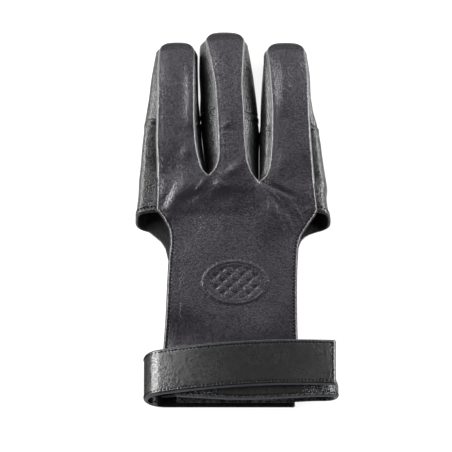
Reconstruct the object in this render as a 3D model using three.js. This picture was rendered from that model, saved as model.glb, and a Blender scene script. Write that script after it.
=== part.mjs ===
// A right-hand archery glove for three fingers, lying palm down. A smooth leather back panel runs
// from under the fingertips over the knuckles and on as a tongue to the wrist. A grained palm panel
// and three stiff fingertip stalls wrap the sides and the underside, and a wrist band and a closing
// strap with hook and loop patches make the loop round the wrist.
// Millimetres. +X is the ring finger's side, +Y the fingertips, +Z the back of the hand.
import * as THREE from 'three';

// Leather and fabric walls
const backLeather = 1.2;
const palmLeather = 1.3;
const tipLeather = 1.7;
const strapLeather = 2.0;
const loopPatchThickness = 1.0;
const hookPatchThickness = 0.8;
const seamGap = 0.3;
const seamLap = 2.2;

// Finger stalls: lengths from the webs to the tips, and widths of the slots that they fill
const indexLength = 77;
const middleLength = 84;
const ringLength = 80;
const indexBaseWidth = 34.8;
const middleBaseWidth = 25.2;
const ringBaseWidth = 32.3;
const indexTipWidth = 21.5;
const middleTipWidth = 30.5;
const ringTipWidth = 22.9;
const middleLean = -2.3;
const fingerGap = 0.8;
const indexHeight = 22;
const middleHeight = 23;
const ringHeight = 22;
const tipRounding = 8;
const floorRounding = 6.5;
const stripCrown = 1.6;

// Hand: the knuckles from the side hems to the webs, and the tongue down to the wrist
const knuckleLength = 17;
const webStep = 3.2;
const handHeight = 25;
const handArch = 4;
const hemSetback = 2.2;
const indexHemFlare = 1.5;
const ringHemFlare = 3.4;
const tongueLength = 96;
const tongueWidth = 62.5;
const apronDepth = 29;

// Wrist loop: its width outside, the bend at its ends, the arch and the slant of its top run
const loopWidth = 95.2;
const bendRadius = 5.4;
const loopCrown = 5;
const loopOffset = 3.9;
const bandWidth = 22.5;
const bandBelowTongue = 3.2;
const bandBulge = 4;
const strapWidth = 21.2;
const strapAboveBand = 6.2;
const strapSlant = 0.06;
const strapTail = 63;
const strapReach = 41.4;
const bandTopReach = 34;
const bandFloorReach = 33;
const loopPatchLength = 54;
const hookPatchLength = 46;
const patchMargin = 1.6;

// Mesh steps
const acrossSteps = 6;
const arcSteps = 3;
const tipRows = 4;
const capRows = 2;
const knuckleRows = 5;
const loopStep = 4.5;

// Each row is a section of a stall, counted from the web (0) to where the tip rounds off (1). left
// and right are how far the widest places stand in from the slot's two sides, and seamLeft and
// seamRight how far the back panel's seams do, all as shares of the slot's width. top and lift are
// shares of the finger's height.
const indexSections = [
  { at: 0.0, left: 0.0, seamLeft: 0.262, seamRight: 0.0, right: 0.0, top: 1.1, lift: 0.0 },
  { at: 0.04, left: 0.0, seamLeft: 0.262, seamRight: 0.045, right: 0.0, top: 1.1, lift: 0.01 },
  { at: 0.12, left: 0.0, seamLeft: 0.255, seamRight: 0.075, right: 0.0, top: 1.12, lift: 0.04 },
  { at: 0.28, left: -0.01, seamLeft: 0.222, seamRight: 0.094, right: 0.0, top: 1.14, lift: 0.1 },
  { at: 0.46, left: -0.01, seamLeft: 0.2, seamRight: 0.086, right: 0.0, top: 1.12, lift: 0.12 },
  { at: 0.64, left: 0.012, seamLeft: 0.17, seamRight: 0.068, right: 0.0, top: 1.06, lift: 0.09 },
  { at: 0.82, left: 0.032, seamLeft: 0.125, seamRight: 0.06, right: 0.005, top: 0.96, lift: 0.04 },
  { at: 1.0, left: 0.075, seamLeft: 0.11, seamRight: 0.07, right: 0.03, top: 0.86, lift: 0.0 },
];
const middleSections = [
  { at: 0.0, left: 0.0, seamLeft: 0.0, seamRight: 0.0, right: 0.0, top: 1.06, lift: 0.0 },
  { at: 0.04, left: 0.0, seamLeft: 0.1, seamRight: 0.09, right: 0.0, top: 1.07, lift: 0.01 },
  { at: 0.12, left: 0.0, seamLeft: 0.21, seamRight: 0.18, right: 0.0, top: 1.09, lift: 0.04 },
  { at: 0.27, left: 0.0, seamLeft: 0.25, seamRight: 0.225, right: 0.0, top: 1.12, lift: 0.1 },
  { at: 0.45, left: 0.0, seamLeft: 0.255, seamRight: 0.25, right: 0.02, top: 1.12, lift: 0.12 },
  { at: 0.66, left: 0.0, seamLeft: 0.235, seamRight: 0.275, right: 0.075, top: 1.06, lift: 0.09 },
  { at: 0.85, left: 0.01, seamLeft: 0.165, seamRight: 0.255, right: 0.13, top: 0.95, lift: 0.04 },
  { at: 1.0, left: 0.035, seamLeft: 0.1, seamRight: 0.24, right: 0.18, top: 0.84, lift: 0.0 },
];
const ringSections = [
  { at: 0.0, left: 0.0, seamLeft: 0.0, seamRight: 0.14, right: 0.0, top: 1.1, lift: 0.0 },
  { at: 0.04, left: 0.0, seamLeft: 0.08, seamRight: 0.14, right: 0.0, top: 1.1, lift: 0.01 },
  { at: 0.12, left: 0.0, seamLeft: 0.14, seamRight: 0.137, right: 0.01, top: 1.12, lift: 0.04 },
  { at: 0.28, left: 0.0, seamLeft: 0.178, seamRight: 0.128, right: 0.022, top: 1.14, lift: 0.1 },
  { at: 0.46, left: 0.0, seamLeft: 0.195, seamRight: 0.108, right: 0.012, top: 1.12, lift: 0.12 },
  { at: 0.64, left: 0.012, seamLeft: 0.195, seamRight: 0.085, right: 0.034, top: 1.06, lift: 0.09 },
  { at: 0.82, left: 0.03, seamLeft: 0.17, seamRight: 0.06, right: 0.022, top: 0.96, lift: 0.04 },
  { at: 1.0, left: 0.075, seamLeft: 0.15, seamRight: 0.07, right: 0.04, top: 0.86, lift: 0.0 },
];

// The back panel's side edges below the side hems. at is a share of the tongue's length, and left
// and right are shares of the tongue's width, outwards from each side of its waist.
const tongueEdges = [
  { at: 0.0, left: 0.112, right: 0.163 },
  { at: 0.03, left: 0.075, right: 0.14 },
  { at: 0.06, left: 0.045, right: 0.108 },
  { at: 0.1, left: 0.012, right: 0.07 },
  { at: 0.14, left: 0.0, right: 0.035 },
  { at: 0.19, left: -0.002, right: 0.012 },
  { at: 0.26, left: 0.008, right: 0.002 },
  { at: 0.4, left: 0.02, right: -0.005 },
  { at: 0.6, left: 0.033, right: -0.005 },
  { at: 0.8, left: 0.055, right: 0.003 },
  { at: 1.0, left: 0.065, right: 0.006 },
];

// Where the finger parts of the palm panel end, as shares of the stalls
const tipSeams = { index: 0.43, middle: 0.48, ring: 0.41 };

// The palm panel's hem across the underside. across is a share of the flat underside's width, and
// drop a share of the apron's depth.
const palmHem = [
  { across: 0.0, drop: 0.138 },
  { across: 0.052, drop: 0.266 },
  { across: 0.09, drop: 0.386 },
  { across: 0.109, drop: 0.54 },
  { across: 0.122, drop: 0.75 },
  { across: 0.17, drop: 0.93 },
  { across: 0.28, drop: 0.99 },
  { across: 0.5, drop: 1.0 },
  { across: 0.72, drop: 0.98 },
  { across: 0.82, drop: 0.9 },
  { across: 0.862, drop: 0.72 },
  { across: 0.88, drop: 0.48 },
  { across: 0.896, drop: 0.335 },
  { across: 0.935, drop: 0.214 },
  { across: 1.0, drop: 0.138 },
];

// Folds of the back panel over the knuckles. across is a share of its width from the index side,
// and along a share of the knuckles' length down from the webs. width is a share of the knuckles'
// length and depth of the hand's height, and a negative depth raises a ridge.
const backFolds = [
  { across: 0.31, along: -0.1, toAcross: 0.04, toAlong: 1.1, width: 0.2, depth: 0.06 },
  { across: 0.24, along: 0.3, toAcross: 0.0, toAlong: 1.3, width: 0.16, depth: -0.03 },
  { across: 0.34, along: -0.1, toAcross: 0.28, toAlong: 0.8, width: 0.15, depth: 0.06 },
  { across: 0.645, along: -0.1, toAcross: 0.69, toAlong: 1.1, width: 0.16, depth: 0.05 },
  { across: 0.66, along: 0.1, toAcross: 0.86, toAlong: 1.3, width: 0.14, depth: 0.03 },
];

const mix = (a, b, t) => a + (b - a) * t;
const clamp01 = (t) => Math.min(1, Math.max(0, t));
const smooth = (t) => clamp01(t) ** 2 * (3 - 2 * clamp01(t));
const steps = (count) => Array.from({ length: count + 1 }, (_, i) => i / count);

// A value of a table's column at any place of its key column, on a smooth curve through the rows
function sample(table, place, column, key = 'at') {
  const last = table.length - 1;
  let i = 0;
  while (i < last - 1 && place > table[i + 1][key]) {
    i += 1;
  }
  const slope = (k) => {
    const before = table[Math.max(0, k - 1)];
    const after = table[Math.min(last, k + 1)];
    return (after[column] - before[column]) / (after[key] - before[key]);
  };
  const span = table[i + 1][key] - table[i][key];
  const t = clamp01((place - table[i][key]) / span);
  const ends = table[i][column] * (1 + 2 * t) * (1 - t) ** 2 + table[i + 1][column] * t * t * (3 - 2 * t);
  return ends + span * t * (1 - t) * (slope(i) * (1 - t) - slope(i + 1) * t);
}

// The wrist loop's path is the hollow's outline: a flat bottom run, two round ends and an arched
// top run. Every layer of the loop is an offset outwards from it.
const tailInner = strapLeather + seamGap;
const floorLayers = 2 * strapLeather + seamGap;
const loopPatchInner = strapLeather + seamGap;
const hookPatchInner = loopPatchInner + loopPatchThickness + seamGap;
const strapInner = hookPatchInner + hookPatchThickness + seamGap;
const halfStraight = loopWidth / 2 - bendRadius - tailInner - strapLeather / 2;
const loopCentreX = loopOffset;
const topTilt = 2 * Math.atan(loopCrown / halfStraight);
const topRadius = bendRadius + halfStraight / Math.sin(topTilt);
const topRun = topRadius * topTilt;
const bendRun = bendRadius * (Math.PI - topTilt);
const wristEnd = -tongueLength;

// The point [x, z] at a distance along the loop's path from the middle of its top run, positive to
// the ring finger's side, raised by an offset. A straight end leaves the path where the bend begins.
function loopPoint(distance, offset, straightEnd = false) {
  const side = distance < 0 ? -1 : 1;
  const away = Math.abs(distance);
  const centreZ = floorLayers + bendRadius;
  if (away > topRun + bendRun) {
    return [loopCentreX + side * (halfStraight - away + topRun + bendRun), floorLayers - offset];
  }
  if (away > topRun && !straightEnd) {
    const angle = topTilt + (away - topRun) / bendRadius;
    const radius = bendRadius + offset;
    return [loopCentreX + side * (halfStraight + Math.sin(angle) * radius), centreZ + Math.cos(angle) * radius];
  }
  const angle = Math.min(away, topRun) / topRadius;
  const over = Math.max(0, away - topRun);
  const radius = topRadius + offset;
  const x = Math.sin(angle) * radius + Math.cos(angle) * over;
  const z = Math.cos(angle) * radius - Math.sin(angle) * over;
  return [loopCentreX + side * x, centreZ - (topRadius - bendRadius) * Math.cos(topTilt) + z];
}

// The height of the loop's hollow over a place x
function loopTop(x) {
  const away = Math.min(Math.abs(x - loopCentreX), halfStraight);
  return loopPoint(topRadius * Math.asin(away / topRadius), 0)[1];
}

// The four lines that bound the three slots at a share of the fingers' length
const handCentre = -1.6;
function slotLines(share) {
  const bow = 1 - (1 - share) ** 3;
  const middle = handCentre + middleLean * bow;
  const half = mix(middleBaseWidth, middleTipWidth, bow) / 2;
  const left = handCentre - middleBaseWidth / 2 - indexBaseWidth;
  const right = handCentre + middleBaseWidth / 2 + ringBaseWidth;
  const tipLeft = handCentre + middleLean - middleTipWidth / 2 - indexTipWidth;
  const tipRight = handCentre + middleLean + middleTipWidth / 2 + ringTipWidth;
  return [mix(left, tipLeft, share), middle - half, middle + half, mix(right, tipRight, share)];
}

const fingers = [
  { name: 'index', length: indexLength, height: indexHeight, rows: indexSections },
  { name: 'middle', length: middleLength, height: middleHeight, rows: middleSections },
  { name: 'ring', length: ringLength, height: ringHeight, rows: ringSections },
];
const webs = [knuckleLength, knuckleLength, knuckleLength - webStep, knuckleLength - webStep];

// The back panel's two side edges at the webs, and its edges at a place y of the hand or tongue
const webLines = slotLines(0);
const kneeLeft = mix(webLines[0], webLines[1], indexSections[0].seamLeft);
const kneeRight = mix(webLines[3], webLines[2], ringSections[0].seamRight);
const waistLeft = handCentre - tongueWidth / 2;
const waistRight = handCentre + tongueWidth / 2;
function backEdges(y) {
  const at = clamp01(-y / tongueLength);
  const left = waistLeft - tongueWidth * sample(tongueEdges, at, 'left');
  const right = waistRight + tongueWidth * sample(tongueEdges, at, 'right');
  return [mix(left, kneeLeft, clamp01(y / webs[0])), mix(right, kneeRight, clamp01(y / webs[3]))];
}

// How far the back panel is folded down at a place, and its height over the hand and the tongue
function foldDepth(x, y) {
  const width = kneeRight - kneeLeft;
  let depth = 0;
  for (const fold of backFolds) {
    const ax = kneeLeft + width * fold.across;
    const ay = knuckleLength * (1 - fold.along);
    const bx = kneeLeft + width * fold.toAcross;
    const by = knuckleLength * (1 - fold.toAlong);
    const t = clamp01(((x - ax) * (bx - ax) + (y - ay) * (by - ay)) / ((bx - ax) ** 2 + (by - ay) ** 2));
    const off = Math.hypot(x - mix(ax, bx, t), y - mix(ay, by, t)) / (knuckleLength * fold.width);
    depth += handHeight * fold.depth * Math.sin(Math.PI * mix(0.12, 0.95, t)) * Math.exp(-off * off);
  }
  return depth;
}

function backHeight(x, y) {
  const [left, right] = backEdges(y);
  const across = (clamp01((x - left) / (right - left)) - 0.5) * 2;
  const down = clamp01(-y / tongueLength);
  const arch = handArch * mix(1, 0.55, smooth(down / 0.4));
  const free = handHeight - handArch + arch * (1 - across ** 2);
  const seated = loopTop(x) - seamGap;
  const sewn = smooth((down - 0.1) / 0.66);
  return mix(free - foldDepth(x, y), seated, sewn);
}

// One section of a finger at a share of its stall: the slot's sides, seams, heights and rows
function fingerSection(slot, at) {
  const finger = fingers[slot];
  const straight = finger.length - tipRounding;
  const lines = slotLines((at * straight) / finger.length);
  const open = smooth(at / 0.07);
  const from = lines[slot] + (slot > 0 ? (fingerGap / 2) * open : 0);
  const to = lines[slot + 1] - (slot < 2 ? (fingerGap / 2) * open : 0);
  const width = to - from;
  const read = (column) => sample(finger.rows, at, column);
  const top = finger.height * read('top');
  const lift = finger.height * read('lift');
  const left = from + width * read('left');
  const right = to - width * read('right');
  return {
    at,
    left,
    right,
    seamLeft: from + width * read('seamLeft'),
    seamRight: to - width * read('seamRight'),
    top,
    lift,
    centre: (left + right) / 2,
    nose: mix(lift, top, 0.42),
    freeLeft: slot === 0 ? 1 : smooth(at / 0.09),
    freeRight: slot === 2 ? 1 : smooth(at / 0.09),
    webs: [webs[slot], webs[slot + 1]],
    shoulder: knuckleLength + straight - (slot === 2 ? webStep : 0) - (slot === 1 ? webStep / 2 : 0),
  };
}

const rowPlace = (section, across) => mix(mix(...section.webs, across), section.shoulder, section.at);

// A point of a back strip, before its tip is rounded
function stripPoint(section, across, depth) {
  const x = mix(section.seamLeft, section.seamRight, across);
  const y = rowPlace(section, across);
  const own = section.top - stripCrown * (2 * across - 1) ** 2;
  return [x, y, mix(backHeight(x, y), own, smooth(section.at / 0.3)) - depth];
}

// Rounds a point of a strip or a wrap over the fingertip by an angle, depth below the strip's face
function roundTip(section, point, angle, depth, narrowest) {
  if (angle === 0) {
    return point;
  }
  const cos = Math.cos(angle);
  const narrow = Math.max(narrowest, mix(0.16, 1, cos));
  const low = section.nose - section.lift + backLeather + seamGap - depth;
  const z = cos >= 0 ? section.nose + (point[2] - section.nose) * cos : section.nose + low * cos;
  const x = section.centre + (point[0] - section.centre) * narrow;
  return [x, point[1] + (tipRounding - depth) * Math.sin(angle), z];
}

// A side wall in a cross-section, from the seam over an elliptic shoulder, straight down and round
// to the flat underside. step runs from 0 at the seam to 2 * arcSteps + 1 at the underside, and the
// inner face is the same outline drawn in by inset.
function wallOutline(seam, widest, lift, side, free, step, inset) {
  const height = seam[1] - lift;
  const across = Math.abs(widest - seam[0]);
  const in1 = inset * free;
  if (step <= arcSteps) {
    const angle = ((step / arcSteps) * Math.PI) / 2;
    const drop = Math.min(1.25 * across, 0.5 * height);
    const reach = across - in1;
    const rise = Math.max(drop, in1) - in1;
    return [seam[0] + side * reach * Math.sin(angle), seam[1] - in1 - rise * (1 - Math.cos(angle))];
  }
  const angle = (((step - arcSteps - 1) / arcSteps) * Math.PI) / 2;
  const round = Math.min(floorRounding, 0.45 * height) * free;
  const inner = round - Math.min(in1, round);
  const x = widest - side * (in1 + inner * (1 - Math.cos(angle)));
  return [x, lift + inset + inner * (1 - Math.sin(angle)) + (1 - free) * (height - inset) * ((2 * arcSteps + 1 - step) / (2 * arcSteps + 1))];
}

// The seam end of a side wall: under the back panel's edge by the lap, clear of it by the gap
function wallSeam(edge, side, free) {
  return [edge[0] - side * seamLap * free, edge[2] - backLeather - seamGap];
}

// A point of the wrap of a finger. column counts the left wall's steps, the floor's and the right
// wall's, and side walls that meet at a web share one upright edge there.
const wallSteps = 2 * arcSteps + 1;
const wrapColumns = 2 * wallSteps + acrossSteps;
function wrapPoint(section, column, angle, inset) {
  const onLeft = column <= wallSteps;
  const onRight = column >= wallSteps + acrossSteps;
  const sideOf = (side) => {
    const free = side < 0 ? section.freeLeft : section.freeRight;
    const edge = stripPoint(section, side < 0 ? 0 : 1, 0);
    const widest = side < 0 ? section.left : section.right;
    return { side, free, edge, widest, seam: wallSeam(edge, side, free) };
  };
  const outline = (wall, step) =>
    wallOutline(wall.seam, wall.widest, section.lift, wall.side, wall.free, step, inset);
  let x;
  let z;
  let across;
  let free = 1;
  if (onLeft || onRight) {
    const wall = sideOf(onLeft ? -1 : 1);
    [x, z] = outline(wall, onLeft ? column : wrapColumns - column);
    across = onLeft ? 0 : 1;
    free = wall.free;
  } else {
    across = (column - wallSteps) / acrossSteps;
    const leftFoot = outline(sideOf(-1), wallSteps);
    const rightFoot = outline(sideOf(1), wallSteps);
    x = mix(leftFoot[0], rightFoot[0], across);
    z = section.lift + inset;
  }
  const y = rowPlace(section, across) - inset * (1 - free);
  return roundTip(section, [x, y, z], angle, backLeather + seamGap + inset, 0);
}

// The hand's cross-section at a share down from the webs (0) to the side hems (1)
const footShares = [];
function handPoint(column, down, inset) {
  const floorColumns = 3 * acrossSteps;
  const y = mix(knuckleLength, 0, down);
  const sides = [-1, 1].map((side) => {
    const web = side < 0 ? webs[0] : webs[3];
    const place = mix(web, 0, down);
    const edgeX = backEdges(place)[side < 0 ? 0 : 1];
    const flare = (side < 0 ? indexHemFlare : ringHemFlare) * down * down;
    const widest = webLines[side < 0 ? 0 : 3] + side * flare;
    const seam = wallSeam([edgeX, place, backHeight(edgeX, place)], side, 1);
    return { side, place, widest, seam };
  });
  const outline = (wall, step) => wallOutline(wall.seam, wall.widest, 0, wall.side, 1, step, inset);
  const feet = sides.map((wall) => outline(wall, wallSteps)[0]);
  if (column <= wallSteps || column >= wallSteps + floorColumns) {
    const wall = sides[column <= wallSteps ? 0 : 1];
    const step = column <= wallSteps ? column : 2 * wallSteps + floorColumns - column;
    const [x, z] = outline(wall, step);
    const round = smooth(step / (arcSteps + 1));
    const under = (apronDepth * palmHem[0].drop - hemSetback) * clamp01((step - arcSteps - 1) / arcSteps);
    return [x, wall.place - down * (hemSetback * round + under), z];
  }
  const floorColumn = column - wallSteps;
  const share = footShares[floorColumn];
  const drop = apronDepth * sample(palmHem, share, 'drop', 'across');
  const slot = Math.min(2, Math.floor(floorColumn / acrossSteps));
  const across = floorColumn / acrossSteps - slot;
  const web = mix(webs[slot], webs[slot + 1], across);
  const border = floorColumn % acrossSteps === 0 ? inset * (1 - down) * (down === 0 ? 1 : 0) : 0;
  return [mix(feet[0], feet[1], share), mix(web, -drop, down) - border, inset];
}

// The floor's columns keep the shares of the underside's width that they have at the webs
const webSections = fingers.map((_, slot) => fingerSection(slot, 0));
const webFloor = webSections.flatMap((section, slot) =>
  steps(acrossSteps)
    .slice(slot > 0 ? 1 : 0)
    .map((_, i) => wrapPoint(section, wallSteps + i + (slot > 0 ? 1 : 0), 0, 0)[0]),
);
for (const x of webFloor) {
  footShares.push((x - webFloor[0]) / (webFloor[webFloor.length - 1] - webFloor[0]));
}

// Collects faces of an outer skin and closes them with an inner skin and rims into one solid
class Shell {
  constructor() {
    this.outer = [];
    this.inner = [];
    this.faces = [];
    this.known = new Map();
  }

  vertex(outer, inner) {
    const key = [...outer, ...inner].map((value) => Math.round(value * 500)).join();
    if (!this.known.has(key)) {
      this.known.set(key, this.outer.length);
      this.outer.push(outer);
      this.inner.push(inner);
    }
    return this.known.get(key);
  }

  // A grid of points given by point(row, column, depth), with faces out where rows run up the
  // page and columns to the right
  grid(rows, columns, thickness, point) {
    const ids = rows.map((row) =>
      Array.from({ length: columns }, (_, column) => this.vertex(point(row, column, 0), point(row, column, thickness))),
    );
    for (let r = 0; r + 1 < rows.length; r += 1) {
      for (let c = 0; c + 1 < columns; c += 1) {
        this.face([ids[r][c], ids[r][c + 1], ids[r + 1][c + 1], ids[r + 1][c]]);
      }
    }
  }

  face(corners) {
    this.faces.push(corners.filter((id, i) => id !== corners[(i + 1) % corners.length]));
  }

  mesh(name, material) {
    const count = this.outer.length;
    const index = [];
    const fan = (corners) => {
      for (let i = 1; i + 1 < corners.length; i += 1) {
        index.push(corners[0], corners[i], corners[i + 1]);
      }
    };
    const edges = new Set();
    for (const corners of this.faces) {
      corners.forEach((id, i) => edges.add(`${id}_${corners[(i + 1) % corners.length]}`));
    }
    for (const corners of this.faces) {
      fan(corners);
      fan([...corners].reverse().map((id) => id + count));
      corners.forEach((id, i) => {
        const next = corners[(i + 1) % corners.length];
        if (!edges.has(`${next}_${id}`)) {
          fan([next, id, id + count, next + count]);
        }
      });
    }
    const geometry = new THREE.BufferGeometry();
    const positions = [...this.outer, ...this.inner].flat();
    geometry.setAttribute('position', new THREE.Float32BufferAttribute(positions, 3));
    geometry.setIndex(index);
    geometry.computeVertexNormals();
    const mesh = new THREE.Mesh(geometry, material);
    mesh.name = name;
    return mesh;
  }
}

const leather = (color, roughness) => new THREE.MeshStandardMaterial({ color, roughness, metalness: 0 });

// The shares of a stall at which it has rows, below and above its tip seam
const lowerShares = (slot) => {
  const end = tipSeams[fingers[slot].name] - seamGap / 2 / (fingers[slot].length - tipRounding);
  return [...[0, 0.025, 0.05, 0.09, 0.16, 0.26].filter((at) => at < end - 0.02), mix(0.26, end, 0.5), end];
};
const upperShares = (slot) => {
  const start = tipSeams[fingers[slot].name] + seamGap / 2 / (fingers[slot].length - tipRounding);
  return [0, 0.25, 0.5, 0.75, 1].map((t) => mix(start, 1, t));
};
const tipAngles = steps(tipRows).map((t) => (t * 72 * Math.PI) / 180);
const capAngles = steps(capRows).map((t) => (mix(72, 116, t) * Math.PI) / 180);

// The back panel: three strips that bend over the fingertips, the knuckles and the tongue
function backPanel() {
  const shell = new Shell();
  fingers.forEach((_, slot) => {
    const rows = [...lowerShares(slot), ...upperShares(slot)].map((at) => ({ at, angle: 0 }));
    rows.push(...[...tipAngles.slice(1), ...capAngles.slice(1)].map((angle) => ({ at: 1, angle })));
    const sections = rows.map((row) => ({ ...row, section: fingerSection(slot, row.at) }));
    shell.grid(sections, acrossSteps + 1, backLeather, (row, column, depth) => {
      const point = stripPoint(row.section, column / acrossSteps, depth);
      return roundTip(row.section, point, row.angle, depth, 0.5);
    });
  });
  const columnX = webSections.flatMap((section, slot) =>
    steps(acrossSteps)
      .slice(slot > 0 ? 1 : 0)
      .map((across) => stripPoint(section, across, 0)),
  );
  const shares = columnX.map((point) => (point[0] - kneeLeft) / (kneeRight - kneeLeft));
  const places = columnX.map((point) => point[1]);
  const knuckles = steps(knuckleRows).map((t) => ({ up: 1 - t, y: 0 }));
  const tongue = [0.02, 0.04, 0.06, 0.08, 0.11, 0.14, 0.18, 0.23, 0.3, 0.38, 0.46, 0.54, 0.62, 0.7, 0.78, 0.86, 0.93, 1];
  const rows = [...knuckles, ...tongue.map((at) => ({ up: 0, y: -at * tongueLength }))].reverse();
  shell.grid(rows, columnX.length, backLeather, (row, column, depth) => {
    const y = row.up === 1 ? places[column] : row.y + row.up * places[column];
    const [left, right] = backEdges(y);
    const x = row.up === 1 ? columnX[column][0] : mix(left, right, shares[column]);
    return [x, y, backHeight(x, y) - depth];
  });
  return shell.mesh('back_panel', leather(0x1b191c, 0.45));
}

// The palm panel: the hand's walls and floor down to the hem, and each finger up to its tip seam
function palmPanel() {
  const shell = new Shell();
  const columns = 2 * wallSteps + 3 * acrossSteps + 1;
  shell.grid(steps(knuckleRows), columns, palmLeather, (down, column, inset) => handPoint(column, down, inset));
  fingers.forEach((_, slot) => {
    const rows = lowerShares(slot).map((at) => fingerSection(slot, at)).reverse();
    shell.grid(rows, wrapColumns + 1, palmLeather, (section, column, inset) => wrapPoint(section, column, 0, inset));
  });
  return shell.mesh('palm_panel', leather(0x141416, 0.6));
}

// A fingertip stall, from its tip seam to the open front that the back strip's end covers
function fingertip(slot) {
  const shell = new Shell();
  const rows = upperShares(slot).map((at) => ({ section: fingerSection(slot, at), angle: 0 }));
  rows.push(...tipAngles.slice(1).map((angle) => ({ section: fingerSection(slot, 1), angle })));
  shell.grid(rows.reverse(), wrapColumns + 1, tipLeather, (row, column, inset) =>
    wrapPoint(row.section, column, row.angle, inset),
  );
  return shell.mesh(`fingertip_${fingers[slot].name}`, leather(0x161618, 0.6));
}

// A layer of the wrist loop between two distances on its path, with its inner face at an offset
function loopLayer(name, from, to, offset, thickness, edges, material, straightEnd = false) {
  const shell = new Shell();
  const rows = steps(Math.max(2, Math.round(Math.abs(to - from) / loopStep))).map((t) => mix(from, to, t));
  shell.grid([0, 1], rows.length, thickness, (side, column, depth) => {
    const distance = rows[column];
    const [x, z] = loopPoint(distance, offset(distance) + thickness - depth, straightEnd && distance > 0);
    return [x, edges(distance)[side], z];
  });
  return shell.mesh(name, material);
}

const bandLow = wristEnd - bandBelowTongue;
function bandEdges(distance, margin = 0) {
  const low = bandLow + bandBulge * smooth(Math.abs(distance) / (topRun + bendRun));
  return [low + margin, low + bandWidth - margin];
}
function strapEdges(distance, margin = 0) {
  const low = bandLow + strapAboveBand + strapSlant * Math.max(distance, -topRun - bendRun / 2);
  return [low + margin, low + strapWidth - margin];
}

// The strap lies on the floor tail and round the bend close to the hollow, and over the patches on
// the top run
const strapOffset = (distance) => mix(tailInner, strapInner, smooth((distance + topRun + bendRun) / bendRun));
const strapEnd = topRun + strapReach - halfStraight;
const patchEnd = Math.min(topRun, strapEnd - patchMargin);
const floorStart = topRun + bendRun;

const object = new THREE.Group();
object.name = 'archery_glove';
object.add(backPanel(), palmPanel(), fingertip(0), fingertip(1), fingertip(2));
object.add(
  loopLayer(
    'wrist_band',
    -bandTopReach,
    floorStart + halfStraight + bandFloorReach,
    () => 0,
    strapLeather,
    bandEdges,
    leather(0x171719, 0.6),
  ),
  loopLayer(
    'closing_strap',
    -floorStart - strapTail,
    strapEnd,
    strapOffset,
    strapLeather,
    strapEdges,
    leather(0x19191b, 0.6),
    true,
  ),
  loopLayer(
    'loop_patch',
    patchEnd - loopPatchLength,
    patchEnd,
    () => loopPatchInner,
    loopPatchThickness,
    (distance) => bandEdges(distance, patchMargin),
    leather(0x101011, 0.95),
  ),
  loopLayer(
    'hook_patch',
    patchEnd - hookPatchLength,
    patchEnd,
    () => hookPatchInner,
    hookPatchThickness,
    (distance) => strapEdges(distance, patchMargin),
    leather(0x101011, 0.9),
  ),
);

// The glove stands with its lowest face on z = 0 and its box centred over the origin
const box = new THREE.Box3().setFromObject(object);
const centre = box.getCenter(new THREE.Vector3());
for (const mesh of object.children) {
  mesh.geometry.translate(-centre.x, -centre.y, -box.min.z);
}

export default object;
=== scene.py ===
"""Looks of a right-hand archery glove for three fingers, lying palm down on a pale floor.

Sizes are millimetres until a piece's mesh is made, where they become metres. +X is the ring
finger's side, +Y the fingertips, +Z the back of the hand.
"""

import math

import bpy
import numpy as np
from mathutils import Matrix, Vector


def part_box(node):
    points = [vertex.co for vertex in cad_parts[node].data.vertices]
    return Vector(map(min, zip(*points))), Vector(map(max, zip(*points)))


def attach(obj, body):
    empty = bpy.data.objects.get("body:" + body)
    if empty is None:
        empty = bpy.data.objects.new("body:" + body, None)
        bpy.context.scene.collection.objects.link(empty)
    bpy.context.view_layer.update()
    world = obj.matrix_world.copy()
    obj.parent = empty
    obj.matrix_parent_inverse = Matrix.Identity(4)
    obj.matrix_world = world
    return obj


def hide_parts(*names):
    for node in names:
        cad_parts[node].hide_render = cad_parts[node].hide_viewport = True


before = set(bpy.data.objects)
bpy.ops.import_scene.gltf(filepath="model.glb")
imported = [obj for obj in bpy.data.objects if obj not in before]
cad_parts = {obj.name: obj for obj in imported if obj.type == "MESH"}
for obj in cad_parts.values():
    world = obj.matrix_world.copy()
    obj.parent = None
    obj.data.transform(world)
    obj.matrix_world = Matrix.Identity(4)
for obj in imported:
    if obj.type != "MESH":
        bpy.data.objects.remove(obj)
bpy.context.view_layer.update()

# Sizes in mm, the same as the solids have

BACK_LEATHER = 1.2
PALM_LEATHER = 1.3
TIP_LEATHER = 1.7
STRAP_LEATHER = 2.0
LOOP_PATCH = 1.0
HOOK_PATCH = 0.8
SEAM_GAP = 0.3
SEAM_LAP = 2.2
FINGER_LENGTHS = (77.0, 84.0, 80.0)
FINGER_HEIGHTS = (22.0, 23.0, 22.0)
BASE_WIDTHS = (34.8, 25.2, 32.3)
TIP_WIDTHS = (21.5, 30.5, 22.9)
MIDDLE_LEAN = -2.3
HAND_CENTRE = -1.6
FINGER_GAP = 0.8
TIP_ROUNDING = 8.0
FLOOR_ROUNDING = 6.5
KNUCKLES = 17.0
WEB_STEP = 3.2
HAND_HEIGHT = 25.0
HAND_ARCH = 4.0
HEM_SETBACK = 2.2
INDEX_FLARE = 1.5
RING_FLARE = 3.4
TONGUE_LENGTH = 96.0
APRON = 29.0
LOOP_WIDTH = 95.2
BEND_RADIUS = 5.4
LOOP_CROWN = 5.0
LOOP_OFFSET = 3.9
BAND_WIDTH = 22.5
BAND_BELOW_TONGUE = 3.2
BAND_BULGE = 4.0
STRAP_SLANT = 0.06
STRAP_TAIL = 63.0
BAND_TOP_REACH = 34.0
BAND_FLOOR_REACH = 33.0
LOOP_PATCH_LENGTH = 54.0
HOOK_PATCH_LENGTH = 46.0
PATCH_MARGIN = 1.6
WEBS = (KNUCKLES, KNUCKLES, KNUCKLES - WEB_STEP, KNUCKLES - WEB_STEP)
TIP_SEAMS = (0.43, 0.48, 0.41)

# Sizes that differ a little from the solids', to match the photograph

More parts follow.
